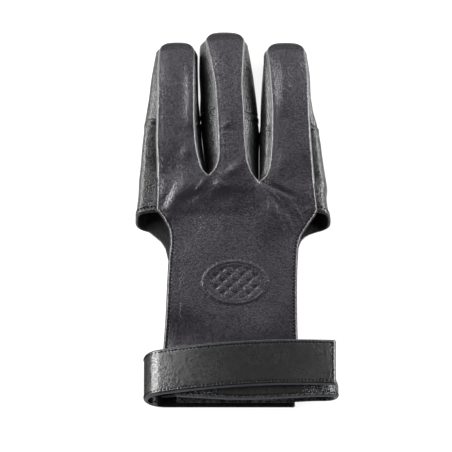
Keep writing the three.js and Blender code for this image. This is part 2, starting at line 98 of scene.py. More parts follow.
STRIP_CROWN = 0.5
TONGUE_WIDTH = 63.1
STRAP_WIDTH = 21.8
STRAP_ABOVE_BAND = 5.2
STRAP_REACH = 41.7

# Sizes of what only shows here. Fullness and steepness have no unit, and shares are of a stall

EDGE_ROLL = 1.3
MIDDLE_RIGHT_ROLL = 0.35
TONGUE_ROLL = 0.7
TIP_DROOP = 0.9
DROOP_START = 0.84
KNUCKLE_STEP = 2.3
TIP_CROWN = 0.9
RING_BELLY = 1.9
OUTER_FULLNESS = 4.0
RING_FULLNESS = 2.4
OUTER_STEEPNESS = 1.25
TIP_STEEPNESS = 0.65
INNER_FULLNESS = 0.55
INNER_STEEPNESS = 1.6
INDEX_GAP_CLOSED = 0.52
RING_GAP_CLOSED = 0.36
STITCH_PITCH = 1.8
STITCH_LENGTH = 1.2
STITCH_RADIUS = 0.32
HEM_STITCH = 2.0
TONGUE_STITCH = 1.5
STRAP_STITCH = 1.3
STITCH_SINK = 0.12
TAPE_STEP = 28.0
TUCK = 2.2
LEAN = 0.095
LEAN_MIDDLE = -86.0
ORNAMENT_MIDDLE = (-0.9, -39.0)
ORNAMENT_HALF_SIZE = (15.5, 11.0)
LATTICE_STEP = 6.4


def table(names, *rows):
    """Rows of numbers as named columns."""
    return dict(zip(names.split(), np.array(rows, float).T))


STALLS = (
    table(
        "at left seam_left seam_right right top lift",
        (0.0, 0.0, 0.262, 0.0, 0.0, 1.09, 0.0),
        (0.04, 0.0, 0.262, 0.045, 0.0, 1.09, 0.01),
        (0.12, 0.0, 0.255, 0.075, 0.0, 1.075, 0.04),
        (0.28, -0.01, 0.222, 0.094, 0.0, 1.07, 0.1),
        (0.46, -0.01, 0.2, 0.086, 0.0, 1.065, 0.12),
        (0.64, 0.012, 0.17, 0.068, 0.0, 1.04, 0.09),
        (0.82, 0.014, 0.125, 0.06, 0.0, 0.96, 0.04),
        (1.0, 0.036, 0.11, 0.07, 0.0, 0.86, 0.0),
    ),
    table(
        "at left seam_left seam_right right top lift",
        (0.0, 0.0, 0.0, 0.0, 0.0, 1.06, 0.0),
        (0.04, 0.0, 0.1, 0.09, 0.0, 1.07, 0.01),
        (0.12, 0.0, 0.21, 0.18, 0.0, 1.09, 0.04),
        (0.27, 0.0, 0.25, 0.225, 0.0, 1.08, 0.1),
        (0.45, 0.0, 0.255, 0.25, 0.0, 1.08, 0.12),
        (0.66, 0.0, 0.235, 0.275, 0.05, 1.05, 0.09),
        (0.85, -0.008, 0.165, 0.255, 0.112, 0.95, 0.04),
        (1.0, 0.004, 0.1, 0.24, 0.18, 0.84, 0.0),
    ),
    table(
        "at left seam_left seam_right right top lift",
        (0.0, 0.0, 0.0, 0.14, 0.0, 1.08, 0.0),
        (0.04, 0.0, 0.08, 0.14, 0.0, 1.08, 0.01),
        (0.12, 0.0, 0.14, 0.137, 0.01, 1.06, 0.04),
        (0.28, 0.0, 0.178, 0.128, 0.022, 1.052, 0.1),
        (0.46, 0.0, 0.195, 0.108, 0.012, 1.05, 0.12),
        (0.64, 0.012, 0.195, 0.075, 0.034, 1.035, 0.09),
        (0.82, 0.038, 0.17, 0.03, 0.002, 0.96, 0.04),
        (1.0, 0.085, 0.135, 0.035, 0.005, 0.86, 0.0),
    ),
)
TONGUE_EDGES = table(
    "at left right",
    (0.0, 0.112, 0.163),
    (0.03, 0.075, 0.14),
    (0.06, 0.045, 0.108),
    (0.1, 0.012, 0.07),
    (0.14, 0.0, 0.035),
    (0.19, -0.002, 0.012),
    (0.26, 0.008, 0.002),
    (0.4, 0.02, -0.005),
    (0.6, 0.033, -0.005),
    (0.8, 0.055, 0.003),
    (1.0, 0.065, 0.006),
)
PALM_HEM = table(
    "at drop",
    (0.0, 0.138),
    (0.052, 0.266),
    (0.09, 0.386),
    (0.109, 0.54),
    (0.122, 0.75),
    (0.17, 0.93),
    (0.28, 0.99),
    (0.5, 1.0),
    (0.72, 0.98),
    (0.82, 0.9),
    (0.862, 0.72),
    (0.88, 0.48),
    (0.896, 0.335),
    (0.935, 0.214),
    (1.0, 0.138),
)
# Large folds: ends as shares of the knuckles, width and depth in mm
FOLDS = table(
    "x0 y0 x1 y1 width depth",
    (0.36, 0.05, 0.3, 0.7, 2.4, 0.35),
    (0.645, -0.1, 0.69, 1.1, 2.7, 0.9),
    (0.66, 0.1, 0.86, 1.3, 2.4, 0.6),
)
# Small folds and wrinkles of the back leather: ends, width and height in mm, height up
WRINKLES = table(
    "x0 y0 x1 y1 width height",
    (-33.6, -1.6, -27.0, 11.4, 3.2, 0.36),
    (-38.0, -0.6, -31.8, 13.6, 1.8, -0.25),
    (-36.0, -7.0, -32.4, -2.0, 1.4, 0.15),
    (-20.4, 8.4, -15.2, 15.6, 1.1, 0.28),
    (-26.0, 3.4, -19.0, 9.0, 2.6, -0.35),
    (-13.0, 6.0, 3.0, 7.0, 5.0, -0.6),
    (-10.6, 13.9, -5.2, 10.2, 1.5, 0.35),
    (-4.6, 17.6, 2.4, 22.9, 2.6, 0.5),
    (3.0, 23.4, 4.0, 30.4, 1.6, 0.35),
    (-10.4, 39.6, -0.1, 41.0, 0.8, -0.35),
    (-6.6, 42.4, -3.6, 44.6, 1.0, 0.5),
    (-7.6, 38.9, -5.2, 39.9, 0.9, 0.35),
    (-9.6, 32.2, -3.8, 31.6, 0.8, -0.25),
    (11.6, 12.2, 13.8, -3.0, 1.1, 0.14),
    (12.6, 11.4, 18.2, -3.4, 1.1, 0.16),
    (14.0, 12.0, 22.8, 1.6, 1.0, 0.26),
    (12.2, 14.0, 27.6, 6.4, 1.3, -0.42),
    (17.4, 3.6, 23.0, -13.0, 1.1, 0.15),
    (21.4, 4.6, 27.6, -11.4, 1.1, 0.18),
    (24.8, 3.2, 30.6, -8.6, 1.1, 0.2),
    (28.4, 1.6, 32.6, -6.2, 0.9, 0.22),
    (32.4, -3.0, 35.8, 0.8, 1.0, 0.15),
    (-26.6, 27.6, -23.8, 33.2, 2.4, 0.3),
    (23.4, 52.0, 24.0, 80.0, 3.0, 1.0),
    (27.0, 40.0, 27.2, 62.0, 2.8, 0.3),
    (22.2, 18.6, 24.4, 31.0, 2.6, 0.4),
    (-22.4, 46.0, -22.2, 82.0, 3.6, 1.9),
    (-24.0, 28.0, -23.0, 50.0, 3.4, 0.5),
    (-25.0, 20.0, -23.6, 34.0, 3.0, 0.1),
    (-3.6, 60.0, -4.0, 80.0, 2.6, 0.25),
    (-3.0, 46.0, -3.0, 60.0, 2.2, 0.4),
)
# Two faint lines pressed along the tongue: where they start and stop
GUIDE_LINES = table(
    "x top bottom",
    (-28.6, -27.0, -66.0),
    (22.6, -14.0, -50.0),
)
# A stitch's four rings: place along it, thickness, and height above the seam, as shares
SPINDLE = table(
    "along thick rise",
    (-0.5, 0.25, -0.55),
    (-0.32, 1.0, 0.2),
    (0.32, 1.0, 0.2),
    (0.5, 0.25, -0.55),
)


def mix(a, b, t):
    """The value at a share t of the way from a to b."""
    return a + (b - a) * t


def smooth(t):
    """An even rise from 0 to 1 that is level at both ends."""
    t = np.clip(t, 0.0, 1.0)
    return t * t * (3.0 - 2.0 * t)


def hump(distance, width):
    """Bell curve: 1 at distance 0, falling to 0.37 at a distance of width."""
    return np.exp(-((distance / width) ** 2))


def curve(rows, place, column):
    """Cubic curve through a table's rows. Its slope at a row is that between the two neighbours."""
    x, y = rows["at"], rows[column]
    place = np.clip(place, x[0], x[-1])
    i = np.clip(np.searchsorted(x, place, side="left") - 1, 0, len(x) - 2)
    k = np.arange(len(x))
    before, after = np.maximum(k - 1, 0), np.minimum(k + 1, len(x) - 1)
    slope = (y[after] - y[before]) / (x[after] - x[before])
    span = x[i + 1] - x[i]
    t = (place - x[i]) / span
    ends = y[i] * (1 + 2 * t) * (1 - t) ** 2 + y[i + 1] * t * t * (3 - 2 * t)
    return ends + span * t * (1 - t) * (slope[i] * (1 - t) - slope[i + 1] * t)


def value_noise(x, y, size, seed):
    """Smooth random heights from -1 to 1: a random number at each corner of a square lattice of
    the given size, blended smoothly over each square."""
    gx, gy = x / size, y / size
    ix, iy = np.floor(gx).astype(int), np.floor(gy).astype(int)
    corners = np.random.default_rng(seed).uniform(-1, 1, (64, 64))
    tx, ty = smooth(gx - ix), smooth(gy - iy)
    low = mix(corners[ix % 64, iy % 64], corners[(ix + 1) % 64, iy % 64], tx)
    high = mix(corners[ix % 64, (iy + 1) % 64], corners[(ix + 1) % 64, (iy + 1) % 64], tx)
    return mix(low, high, ty)


def distance_to_lines(x, y, lines):
    """For each line of a table, the distance of each place to it and the share along it."""
    for x0, y0, x1, y1 in zip(lines["x0"], lines["y0"], lines["x1"], lines["y1"]):
        t = ((x - x0) * (x1 - x0) + (y - y0) * (y1 - y0)) / ((x1 - x0) ** 2 + (y1 - y0) ** 2)
        t = np.clip(t, 0.0, 1.0)
        yield np.hypot(x - mix(x0, x1, t), y - mix(y0, y1, t)), t


# Form of the wrist loop

TAIL_INNER = STRAP_LEATHER + SEAM_GAP
FLOOR_LAYERS = 2 * STRAP_LEATHER + SEAM_GAP
LOOP_PATCH_INNER = STRAP_LEATHER + SEAM_GAP
HOOK_PATCH_INNER = LOOP_PATCH_INNER + LOOP_PATCH + SEAM_GAP
STRAP_INNER = HOOK_PATCH_INNER + HOOK_PATCH + SEAM_GAP
HALF_STRAIGHT = LOOP_WIDTH / 2 - BEND_RADIUS - TAIL_INNER - STRAP_LEATHER / 2
TOP_TILT = 2 * math.atan(LOOP_CROWN / HALF_STRAIGHT)
TOP_RADIUS = BEND_RADIUS + HALF_STRAIGHT / math.sin(TOP_TILT)
TOP_RUN = TOP_RADIUS * TOP_TILT
BEND_RUN = BEND_RADIUS * (math.pi - TOP_TILT)
BAND_LOW = -TONGUE_LENGTH - BAND_BELOW_TONGUE


def loop_point(distance, offset, straight_end=False):
    """x and z at a distance along the loop from the middle of its top run: a large arc, a round
    bend of BEND_RADIUS tangent to it, then a flat bottom run, all moved outwards by the offset."""
    side = np.where(distance < 0, -1.0, 1.0)
    away = np.abs(distance)
    centre = FLOOR_LAYERS + BEND_RADIUS
    angle = np.minimum(away, TOP_RUN) / TOP_RADIUS
    over = np.maximum(0.0, away - TOP_RUN)
    radius = TOP_RADIUS + offset
    x = np.sin(angle) * radius + np.cos(angle) * over
    arc_centre = centre - (TOP_RADIUS - BEND_RADIUS) * math.cos(TOP_TILT)
    z = arc_centre + np.cos(angle) * radius - np.sin(angle) * over
    turn = TOP_TILT + np.clip(away - TOP_RUN, 0.0, BEND_RUN) / BEND_RADIUS
    bend_x = HALF_STRAIGHT + np.sin(turn) * (BEND_RADIUS + offset)
    bend_z = centre + np.cos(turn) * (BEND_RADIUS + offset)
    beyond = np.maximum(0.0, away - TOP_RUN - BEND_RUN)
    bent = (away > TOP_RUN) & ((distance < 0) | (not straight_end))
    x = np.where(bent, bend_x - beyond, x)
    z = np.where(bent, bend_z, z)
    return LOOP_OFFSET + side * x, z


def lean(y, z):
    """The wrist loop's top sinks towards the wrist, in proportion to its height."""
    return z + LEAN * (y - LEAN_MIDDLE) * z / HAND_HEIGHT


def loop_top(x):
    """Height of the loop's hollow over x."""
    away = np.minimum(np.abs(x - LOOP_OFFSET), HALF_STRAIGHT)
    return loop_point(TOP_RADIUS * np.arcsin(away / TOP_RADIUS), 0.0)[1]


# Form of the hand


def slot_lines(share):
    """The four lines between which the three stalls lie, at a share of the fingers' length."""
    bow = 1 - (1 - share) ** 3
    middle = HAND_CENTRE + MIDDLE_LEAN * bow
    half = mix(BASE_WIDTHS[1], TIP_WIDTHS[1], bow) / 2
    left = HAND_CENTRE - BASE_WIDTHS[1] / 2 - BASE_WIDTHS[0]
    right = HAND_CENTRE + BASE_WIDTHS[1] / 2 + BASE_WIDTHS[2]
    tip_left = HAND_CENTRE + MIDDLE_LEAN - TIP_WIDTHS[1] / 2 - TIP_WIDTHS[0]
    tip_right = HAND_CENTRE + MIDDLE_LEAN + TIP_WIDTHS[1] / 2 + TIP_WIDTHS[2]
    return mix(left, tip_left, share), middle - half, middle + half, mix(right, tip_right, share)


WEB_LINES = slot_lines(0.0)
KNEE_LEFT = mix(WEB_LINES[0], WEB_LINES[1], STALLS[0]["seam_left"][0])
KNEE_RIGHT = mix(WEB_LINES[3], WEB_LINES[2], STALLS[2]["seam_right"][0])


def back_edges(y):
    """The back panel's left and right edges: straight over the knuckles, a curve on the tongue."""
    at = np.clip(-y / TONGUE_LENGTH, 0.0, 1.0)
    left = HAND_CENTRE - TONGUE_WIDTH / 2 - TONGUE_WIDTH * curve(TONGUE_EDGES, at, "left")
    right = HAND_CENTRE + TONGUE_WIDTH / 2 + TONGUE_WIDTH * curve(TONGUE_EDGES, at, "right")
    up_left, up_right = np.clip(y / WEBS[0], 0.0, 1.0), np.clip(y / WEBS[3], 0.0, 1.0)
    return mix(left, KNEE_LEFT, up_left), mix(right, KNEE_RIGHT, up_right)


def fold_depth(x, y):
    """Sum of troughs along lines, each a bell curve across and half a sine wave along."""
    width = KNEE_RIGHT - KNEE_LEFT
    lines = {
        "x0": KNEE_LEFT + width * FOLDS["x0"],
        "x1": KNEE_LEFT + width * FOLDS["x1"],
        "y0": KNUCKLES * (1 - FOLDS["y0"]),
        "y1": KNUCKLES * (1 - FOLDS["y1"]),
    }
    depth = 0.0
    for (off, t), wide, deep in zip(distance_to_lines(x, y, lines), FOLDS["width"], FOLDS["depth"]):
        depth = depth + deep * np.sin(np.pi * mix(0.12, 0.95, t)) * hump(off, wide)
    return depth


def back_height(x, y):
    """The back panel's height: an arch over the hand that turns into the wrist loop's arch. It
    steps down behind the knuckles, most over the hand's middle, and the tongue makes it up."""
    left, right = back_edges(y)
    across = (np.clip((x - left) / (right - left), 0.0, 1.0) - 0.5) * 2
    down = np.clip(-y / TONGUE_LENGTH, 0.0, 1.0)
    arch = HAND_ARCH * mix(0.8, 0.15, smooth(down / 0.3))
    free = HAND_HEIGHT - HAND_ARCH + arch * (1 - across**2)
    seated = lean(y, loop_top(x) - SEAM_GAP)
    inwards = smooth((x + 40) / 20) * (1 - 0.6 * smooth((x - 2) / 14))
    step = KNUCKLE_STEP * inwards * (smooth((12 - y) / 16) - smooth((-2 - y) / 26))
    return mix(free - fold_depth(x, y) - step, seated, smooth((down - 0.52) / 0.26))


def wrinkles(x, y):
    """Small folds: bell curves across short lines, swollen in the middle, and soft unevenness."""
    height = 0.0
    places = distance_to_lines(x, y, WRINKLES)
    for (off, t), wide, high in zip(places, WRINKLES["width"], WRINKLES["height"]):
        height = height + 1.45 * high * np.sin(np.pi * mix(0.15, 0.85, t)) * hump(off, wide)
    broad = mix(0.14, 0.08, smooth(-y / 10)) * value_noise(x, y * 0.7, 6.5, 3)
    streaks = 0.045 * value_noise(x, y * 0.4, 1.7, 5)
    return height + broad + streaks


def finger(slot, at):
    """A finger's sections at shares of its stall: each value is a column of one number per row."""
    at = np.asarray(at, float)[:, None]
    rows, height = STALLS[slot], FINGER_HEIGHTS[slot]
    straight = FINGER_LENGTHS[slot] - TIP_ROUNDING
    lines = slot_lines(at * straight / FINGER_LENGTHS[slot])
    opened = smooth(at / 0.07) * FINGER_GAP / 2
    start = lines[slot] + (opened if slot > 0 else 0)
    stop = lines[slot + 1] - (opened if slot < 2 else 0)
    width = stop - start
    left = start + width * curve(rows, at, "left")
    right = stop - width * curve(rows, at, "right")
    droop = TIP_DROOP * np.maximum(0.0, (at - DROOP_START) / (1 - DROOP_START)) ** 2
    top, lift = height * curve(rows, at, "top") - droop, height * curve(rows, at, "lift")
    own_fall = height * (curve(rows, 1.0, "top") - curve(rows, 0.98, "top")) / 0.02
    fall = own_fall - 2 * TIP_DROOP / (1 - DROOP_START)
    webs = np.array([WEBS[slot], WEBS[slot + 1]])
    return {
        "slot": slot,
        "at": at,
        "left": left,
        "right": right,
        "seam_left": start + width * curve(rows, at, "seam_left"),
        "seam_right": stop - width * curve(rows, at, "seam_right"),
        "top": top,
        "lift": lift,
        "centre": (left + right) / 2,
        "nose": mix(lift, top, 0.42),
        "tip_slope": fall / straight,
        "free_left": np.ones_like(at) if slot == 0 else smooth(at / 0.09),
        "free_right": np.ones_like(at) if slot == 2 else smooth(at / 0.09),
        "webs": webs,
        "shoulder": KNUCKLES + straight - (0.0, WEB_STEP / 2, WEB_STEP)[slot],
    }


def row_place(section, across):
    """y of a place across a section: the web line at the hand, one straight line at the tip."""
    return mix(mix(section["webs"][0], section["webs"][1], across), section["shoulder"], section["at"])


def strip_points(section, across):
    """The back strip's x, y and height before its tip is rounded: a low crown across, which grows
    out of the hand's own arch."""
    x = mix(section["seam_left"], section["seam_right"], across)
    y = row_place(section, across)
    crown = STRIP_CROWN + TIP_CROWN * smooth((section["at"] - 0.6) / 0.4)
    own = section["top"] - crown * (2 * across - 1) ** 2
    return x, y, mix(back_height(x, y), own, smooth(section["at"] / 0.3))


def round_tip(section, x, y, z, angle, depth, narrowest):
    """Bends the rows past a stall's straight part over the fingertip: an ellipse in side view,
    narrowing in plan, at a depth below the back strip's face."""
    angle = np.asarray(angle, float)[:, None]
    cos, sin = np.cos(angle), np.sin(angle)
    narrow = np.maximum(narrowest, mix(0.06, 1.0, cos))
    low = section["nose"] - section["lift"] + BACK_LEATHER + SEAM_GAP - depth
    up = section["nose"] + (z - section["nose"]) * cos + section["tip_slope"] * TIP_ROUNDING * sin * cos
    bent = angle > 0
    z = np.where(bent, np.where(cos >= 0, up, section["nose"] + low * cos), z)
    x = np.where(bent, section["centre"] + (x - section["centre"]) * narrow, x)
    return x, y + (TIP_ROUNDING - depth) * sin, z


# A side wall's outline is walked by a number from 0 at the seam over 3, the end of its shoulder,
# and 4, the start of its lower rounding, to 7 at the flat underside
SHOULDER_END, ROUND_START, WALL_END = 3.0, 4.0, 7.0
WALL = np.concatenate([np.linspace(0, 3, 12)[:-1], np.linspace(3, 4, 9)[:-1], np.linspace(4, 7, 10)])
FLOOR = np.linspace(0, 1, 15)[1:-1]


def wall_points(seam_x, seam_z, widest, lift, side, free, walk, inset, fullness, steepness):
    """Half a stall's outline in cross-section: a quarter oval from the seam out to the widest
    place, a straight side, and a quarter circle in to the underside. Above 1, the fullness keeps
    the oval high for longer, and the steepness is its fall for each millimetre out. The inner
    face has the same centres with smaller radii. At a web, where free is 0, the outline is one
    upright line."""
    height = seam_z - lift
    across = np.abs(widest - seam_x)
    drawn = inset * free
    up = np.minimum(walk, SHOULDER_END) / SHOULDER_END * np.pi / 2
    most = np.maximum(0.4 * steepness, 0.5) * height
    rise = np.maximum(np.minimum(steepness * across, most), drawn) - drawn
    top_x = seam_x + side * (across - drawn) * np.sin(up)
    top_z = seam_z - drawn - rise * (1 - np.cos(up)) ** fullness
    low = (np.maximum(walk, ROUND_START) - ROUND_START) / (WALL_END - ROUND_START) * np.pi / 2
    radius = np.minimum(FLOOR_ROUNDING, 0.45 * height) * free
    inner = radius - np.minimum(drawn, radius)
    low_x = widest - side * (drawn + inner * (1 - np.cos(low)))
    straight = (1 - free) * (height - inset) * (WALL_END - np.maximum(walk, ROUND_START)) / WALL_END
    low_z = lift + inset + inner * (1 - np.sin(low)) + straight
    share = np.clip(walk - SHOULDER_END, 0.0, 1.0)
    return mix(top_x, low_x, share), mix(top_z, low_z, share)


def wall_form(slot, side, at):
    """A finger wall's bulge in mm, its fullness and its steepness. The outer walls are full near
    the hand and slope more past the mid-finger seam. The inner walls bulge near the hand, which
    closes the gap between two fingers there, and all but the ring finger's are steep."""
    if (slot, side) in ((0, -1), (2, 1)):
        past_seam = smooth((at - TIP_SEAMS[slot] + 0.06) / 0.1)
        belly = RING_BELLY * (1 - smooth((at - 0.3) / 0.25)) if slot == 2 else 0.0
        fullness = mix(OUTER_FULLNESS if slot == 0 else RING_FULLNESS, 1.0, past_seam)
        return belly, fullness, mix(OUTER_STEEPNESS, TIP_STEEPNESS, past_seam)
    closed = INDEX_GAP_CLOSED if (slot, side) in ((0, 1), (1, -1)) else RING_GAP_CLOSED
    belly = 0.9 * FINGER_GAP / 2 * smooth(at / 0.07) * (1 - smooth((at - closed) / 0.12))
    if slot == 2:
        return belly, 1.0, OUTER_STEEPNESS
    return belly, INNER_FULLNESS, INNER_STEEPNESS


def wrap_points(slot, at, angle, inset):
    """A finger's wrap from seam to seam: the left wall, the flat floor and the right wall."""
    section = finger(slot, at)
    lift = section["lift"]
    walls = []
    for side, free, edge, widest in (
        (-1, section["free_left"], 0.0, section["left"]),
        (1, section["free_right"], 1.0, section["right"]),
    ):
        x, y, z = strip_points(section, edge)
        seam_x, seam_z = x - side * SEAM_LAP * free, z - BACK_LEATHER - SEAM_GAP
        belly, fullness, steepness = wall_form(slot, side, section["at"])
        outer, walk = widest + side * belly, WALL[None, :]
        x, z = wall_points(seam_x, seam_z, outer, lift, side, free, walk, inset, fullness, steepness)
        walls.append((x, np.broadcast_to(y - inset * (1 - free), x.shape), z))
    left, right = walls
    floor_x = mix(left[0][:, -1:], right[0][:, -1:], FLOOR[None, :])
    floor_z = np.broadcast_to(lift + inset, floor_x.shape)
    floor = (floor_x, row_place(section, FLOOR[None, :]), floor_z)
    x, y, z = (np.concatenate([left[k], floor[k], right[k][:, ::-1]], 1) for k in range(3))
    return np.stack(round_tip(section, x, y, z, angle, BACK_LEATHER + SEAM_GAP + inset, 0.0), -1)


# The floor's columns of all three fingers, with the web rows' y, as shares of the hand's floor
FLOOR_STEPS = np.linspace(0, 1, len(FLOOR) + 2)
WEB_ROWS = [wrap_points(slot, [0.0], [0.0], 0.0)[0, len(WALL) - 1 : -len(WALL) + 1] for slot in range(3)]
WEB_FLOOR = np.concatenate([WEB_ROWS[0], WEB_ROWS[1][1:], WEB_ROWS[2][1:]])
FLOOR_SHARES = (WEB_FLOOR[:, 0] - WEB_FLOOR[0, 0]) / (WEB_FLOOR[-1, 0] - WEB_FLOOR[0, 0])


def hand_points(down, inset):
    """The hand's wall, floor and wall, from the webs (0) down to the hem (1). The hem runs
    across the underside as a curve of its own."""
    down = np.asarray(down, float)[:, None]
    walls = []
    for side, web, widest, flare, fullness in (
        (-1, WEBS[0], WEB_LINES[0], INDEX_FLARE, OUTER_FULLNESS),
        (1, WEBS[3], WEB_LINES[3], RING_FLARE, RING_FULLNESS),
    ):
        place = mix(web, 0.0, down)
        edge = back_edges(place)[0 if side < 0 else 1]
        seam_z = back_height(edge, place) - BACK_LEATHER - SEAM_GAP
        belly = RING_BELLY * (1 - down) if side > 0 else 0.0
        outer = widest + side * (flare * down**2 + belly)
        seam_x, walk = edge - side * SEAM_LAP, WALL[None, :]
        x, z = wall_points(seam_x, seam_z, outer, 0.0, side, 1.0, walk, inset, fullness, OUTER_STEEPNESS)
        under = np.clip((WALL - ROUND_START) / (WALL_END - ROUND_START), 0, 1)
        setback = HEM_SETBACK * smooth(WALL / ROUND_START)
        setback = setback + (APRON * PALM_HEM["drop"][0] - HEM_SETBACK) * under
        walls.append((x, place - down * setback[None, :], z))
    left, right = walls
    drop = APRON * curve(PALM_HEM, FLOOR_SHARES, "drop")[None, :]
    x = mix(left[0][:, -1:], right[0][:, -1:], FLOOR_SHARES[None, :])
    border = np.zeros(len(FLOOR_SHARES))
    border[[len(FLOOR) + 1, 2 * len(FLOOR) + 2]] = 1.0
    y = mix(WEB_FLOOR[None, :, 1], -drop, down) - np.where(down == 0, inset * border[None, :], 0.0)
    z = np.broadcast_to(np.float64(inset), x.shape)
    floor = (x[:, 1:-1], y[:, 1:-1], z[:, 1:-1])
    return np.stack([np.concatenate([left[k], floor[k], right[k][:, ::-1]], 1) for k in range(3)], -1)


# Making meshes

# The CAD centres its box over the origin, so the same shift is read from two of its nodes
SHIFT = np.array(
    [
        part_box("wrist_band")[1].x * 1000 - (LOOP_OFFSET + HALF_STRAIGHT + BEND_RADIUS + STRAP_LEATHER),
        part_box("back_panel")[0].y * 1000 + TONGUE_LENGTH,
        0.0,
    ]
)


def normals(points):
    """Unit normals of a grid of points: its columns' direction crossed with its rows'."""
    down, along = np.gradient(points, axis=0), np.gradient(points, axis=1)
    cross = np.cross(along, down)
    return cross / np.maximum(np.linalg.norm(cross, axis=-1, keepdims=True), 1e-9)


def lengths(points, axis):
    """Length walked along an axis of a grid of points, from 0 at its start."""
    steps = np.linalg.norm(np.diff(points, axis=axis), axis=-1)
    pad = [(1, 0) if k == axis else (0, 0) for k in range(2)]
    return np.pad(np.cumsum(steps, axis=axis), pad)


def rim(outer, inner, before, steps=5):
    """A half-round edge between two faces: from the outer edge to the inner edge round their
    middle, bulging away from the row before the outer edge."""
    away = outer - before
    away = away / np.maximum(np.linalg.norm(away, axis=-1, keepdims=True), 1e-9)
    centre, arm = (outer + inner) / 2, (outer - inner) / 2
    half = np.linalg.norm(arm, axis=-1, keepdims=True)
    turn = np.linspace(0, np.pi, steps)[:, None, None]
    return centre + arm * np.cos(turn) + away * half * np.sin(turn)


def end_row(grid, name, step=0):
    """A grid's row or column at one of its ends, or so many steps in from it."""
    k = step if name in ("start", "left") else -1 - step
    return grid[k] if name in ("start", "stop") else grid[:, k]


def shell(outer, inner, uv=None, lining=0, edge=0, ends=("start", "stop", "left", "right"), borders=(0, 0)):
    """A wall between two grids: the outer grid in material 0, the inner grid turned over in the
    lining's, and round rims in the edge's. So many of the outer grid's first and last columns as
    borders say have the edge's material too."""
    if uv is None:
        uv = np.stack([lengths(outer, 1), lengths(outer, 0)], -1)
    stop = outer.shape[1] - borders[1]
    middle = slice(borders[0], stop)
    sheets = [(outer[:, middle], uv[:, middle], 0), (inner[:, ::-1], uv[:, ::-1], lining)]
    if borders[0]:
        sheets.append((outer[:, : borders[0] + 1], uv[:, : borders[0] + 1], edge))
    if borders[1]:
        sheets.append((outer[:, stop - 1 :], uv[:, stop - 1 :], edge))
    for name in ends:
        points = rim(end_row(outer, name), end_row(inner, name), end_row(outer, name, 1))
        uvs = np.broadcast_to(end_row(uv, name), (*points.shape[:2], 2))
        if name in ("start", "left"):
            points, uvs = points[::-1], uvs[::-1]
        if name in ("left", "right"):
            points, uvs = points.swapaxes(0, 1), uvs.swapaxes(0, 1)
        sheets.append((points, uvs, edge))
    return sheets


# Points of one piece that are closer than this, in mm, are joined
JOINED = 0.002


def piece(name, sheets, materials, nodes):
    """Makes one mesh of grids of points. Each grid's faces point out where its columns run to the
    right and its rows up, and grids that share points are joined there. What would sink into the
    floor is pressed flat on it."""
    points = np.concatenate([s[0].reshape(-1, 3) for s in sheets]) + SHIFT
    points[:, 2] = np.maximum(points[:, 2], 0.0)
    uvs = np.concatenate([s[1].reshape(-1, 2) for s in sheets])
    rounded = np.round(points / JOINED).astype(np.int64)
    _, first, same = np.unique(rounded, axis=0, return_index=True, return_inverse=True)
    same = same.reshape(-1)
    corners, slots, start = [], [], 0
    for grid, _, material in sheets:
        rows, columns = grid.shape[:2]
        index = np.arange(rows * columns).reshape(rows, columns) + start
        quads = np.stack([index[:-1, :-1], index[:-1, 1:], index[1:, 1:], index[1:, :-1]], -1).reshape(-1, 4)
        corners.append(quads)
        slots.append(np.broadcast_to(material, (rows - 1, columns - 1)).reshape(-1))
        start += rows * columns
    corners, slots = np.concatenate(corners), np.concatenate(slots)
    joined = same[corners]
    doubled = (joined == np.roll(joined, 1, axis=1)).sum(1)
    flat = (joined[:, 0] == joined[:, 2]) | (joined[:, 1] == joined[:, 3])
    keep = (doubled <= 1) & ~flat
    corners, slots, joined = corners[keep], slots[keep], joined[keep]
    used = joined != np.roll(joined, 1, axis=1)
    loops, counts = joined[used], used.sum(1)
    mesh = bpy.data.meshes.new(name)
    mesh.vertices.add(len(first))
    mesh.vertices.foreach_set("co", (points[first] / 1000).astype(np.float32).ravel())
    mesh.loops.add(len(loops))
    mesh.loops.foreach_set("vertex_index", loops.astype(np.int32))
    mesh.polygons.add(len(counts))
    mesh.polygons.foreach_set("loop_start", np.concatenate([[0], np.cumsum(counts)[:-1]]).astype(np.int32))
    mesh.polygons.foreach_set("material_index", slots.astype(np.int32))
    mesh.update(calc_edges=True)
    mesh.uv_layers.new(name="surface")
    mesh.uv_layers["surface"].data.foreach_set("uv", (uvs[corners[used]] / 1000).astype(np.float32).ravel())
    mesh.validate()
    mesh.shade_smooth()
    for material in materials:
        mesh.materials.append(material)
    made = bpy.data.objects.new(name, mesh)
    bpy.context.scene.collection.objects.link(made)
    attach(made, "root")
    if nodes:
        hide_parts(*nodes)
    return made


def at_distances(distances, walked, values):
    """A path's values, read at distances walked along it."""
    return np.stack([np.interp(distances, walked, values[:, k]) for k in range(3)], -1)


def stitches(name, lines):
    """Short threads along lines: spindles of four rings of six, one per pitch, each lying along
    its line and half sunk in the leather, with its ends pulled down."""
    sheets = []
    for path, up in lines:
        walked = np.concatenate([[0], np.cumsum(np.linalg.norm(np.diff(path, axis=0), axis=1))])
        centres = np.arange(STITCH_PITCH / 2, walked[-1], STITCH_PITCH)
        along = at_distances(centres + 0.3, walked, path) - at_distances(centres - 0.3, walked, path)
        along /= np.linalg.norm(along, axis=1, keepdims=True)
        side = np.cross(along, at_distances(centres, walked, up))
        side /= np.linalg.norm(side, axis=1, keepdims=True)
        lift = np.cross(side, along)
        spot = at_distances(centres, walked, path)[:, None, None, :]
        run, thick, rise = (SPINDLE[column][None, :, None, None] for column in ("along", "thick", "rise"))
        turn = np.linspace(0, 2 * np.pi, 7)[None, None, :, None]
        ring = np.cos(turn) * side[:, None, None, :] + np.sin(turn) * lift[:, None, None, :]
        threads = spot + run * STITCH_LENGTH * along[:, None, None, :]
        threads = threads + STITCH_RADIUS * (thick * ring + rise * lift[:, None, None, :])
        sheets += [(rings[:, ::-1], np.zeros((*rings.shape[:2], 2)), 0) for rings in threads]
    return piece(name, sheets, [thread], [])


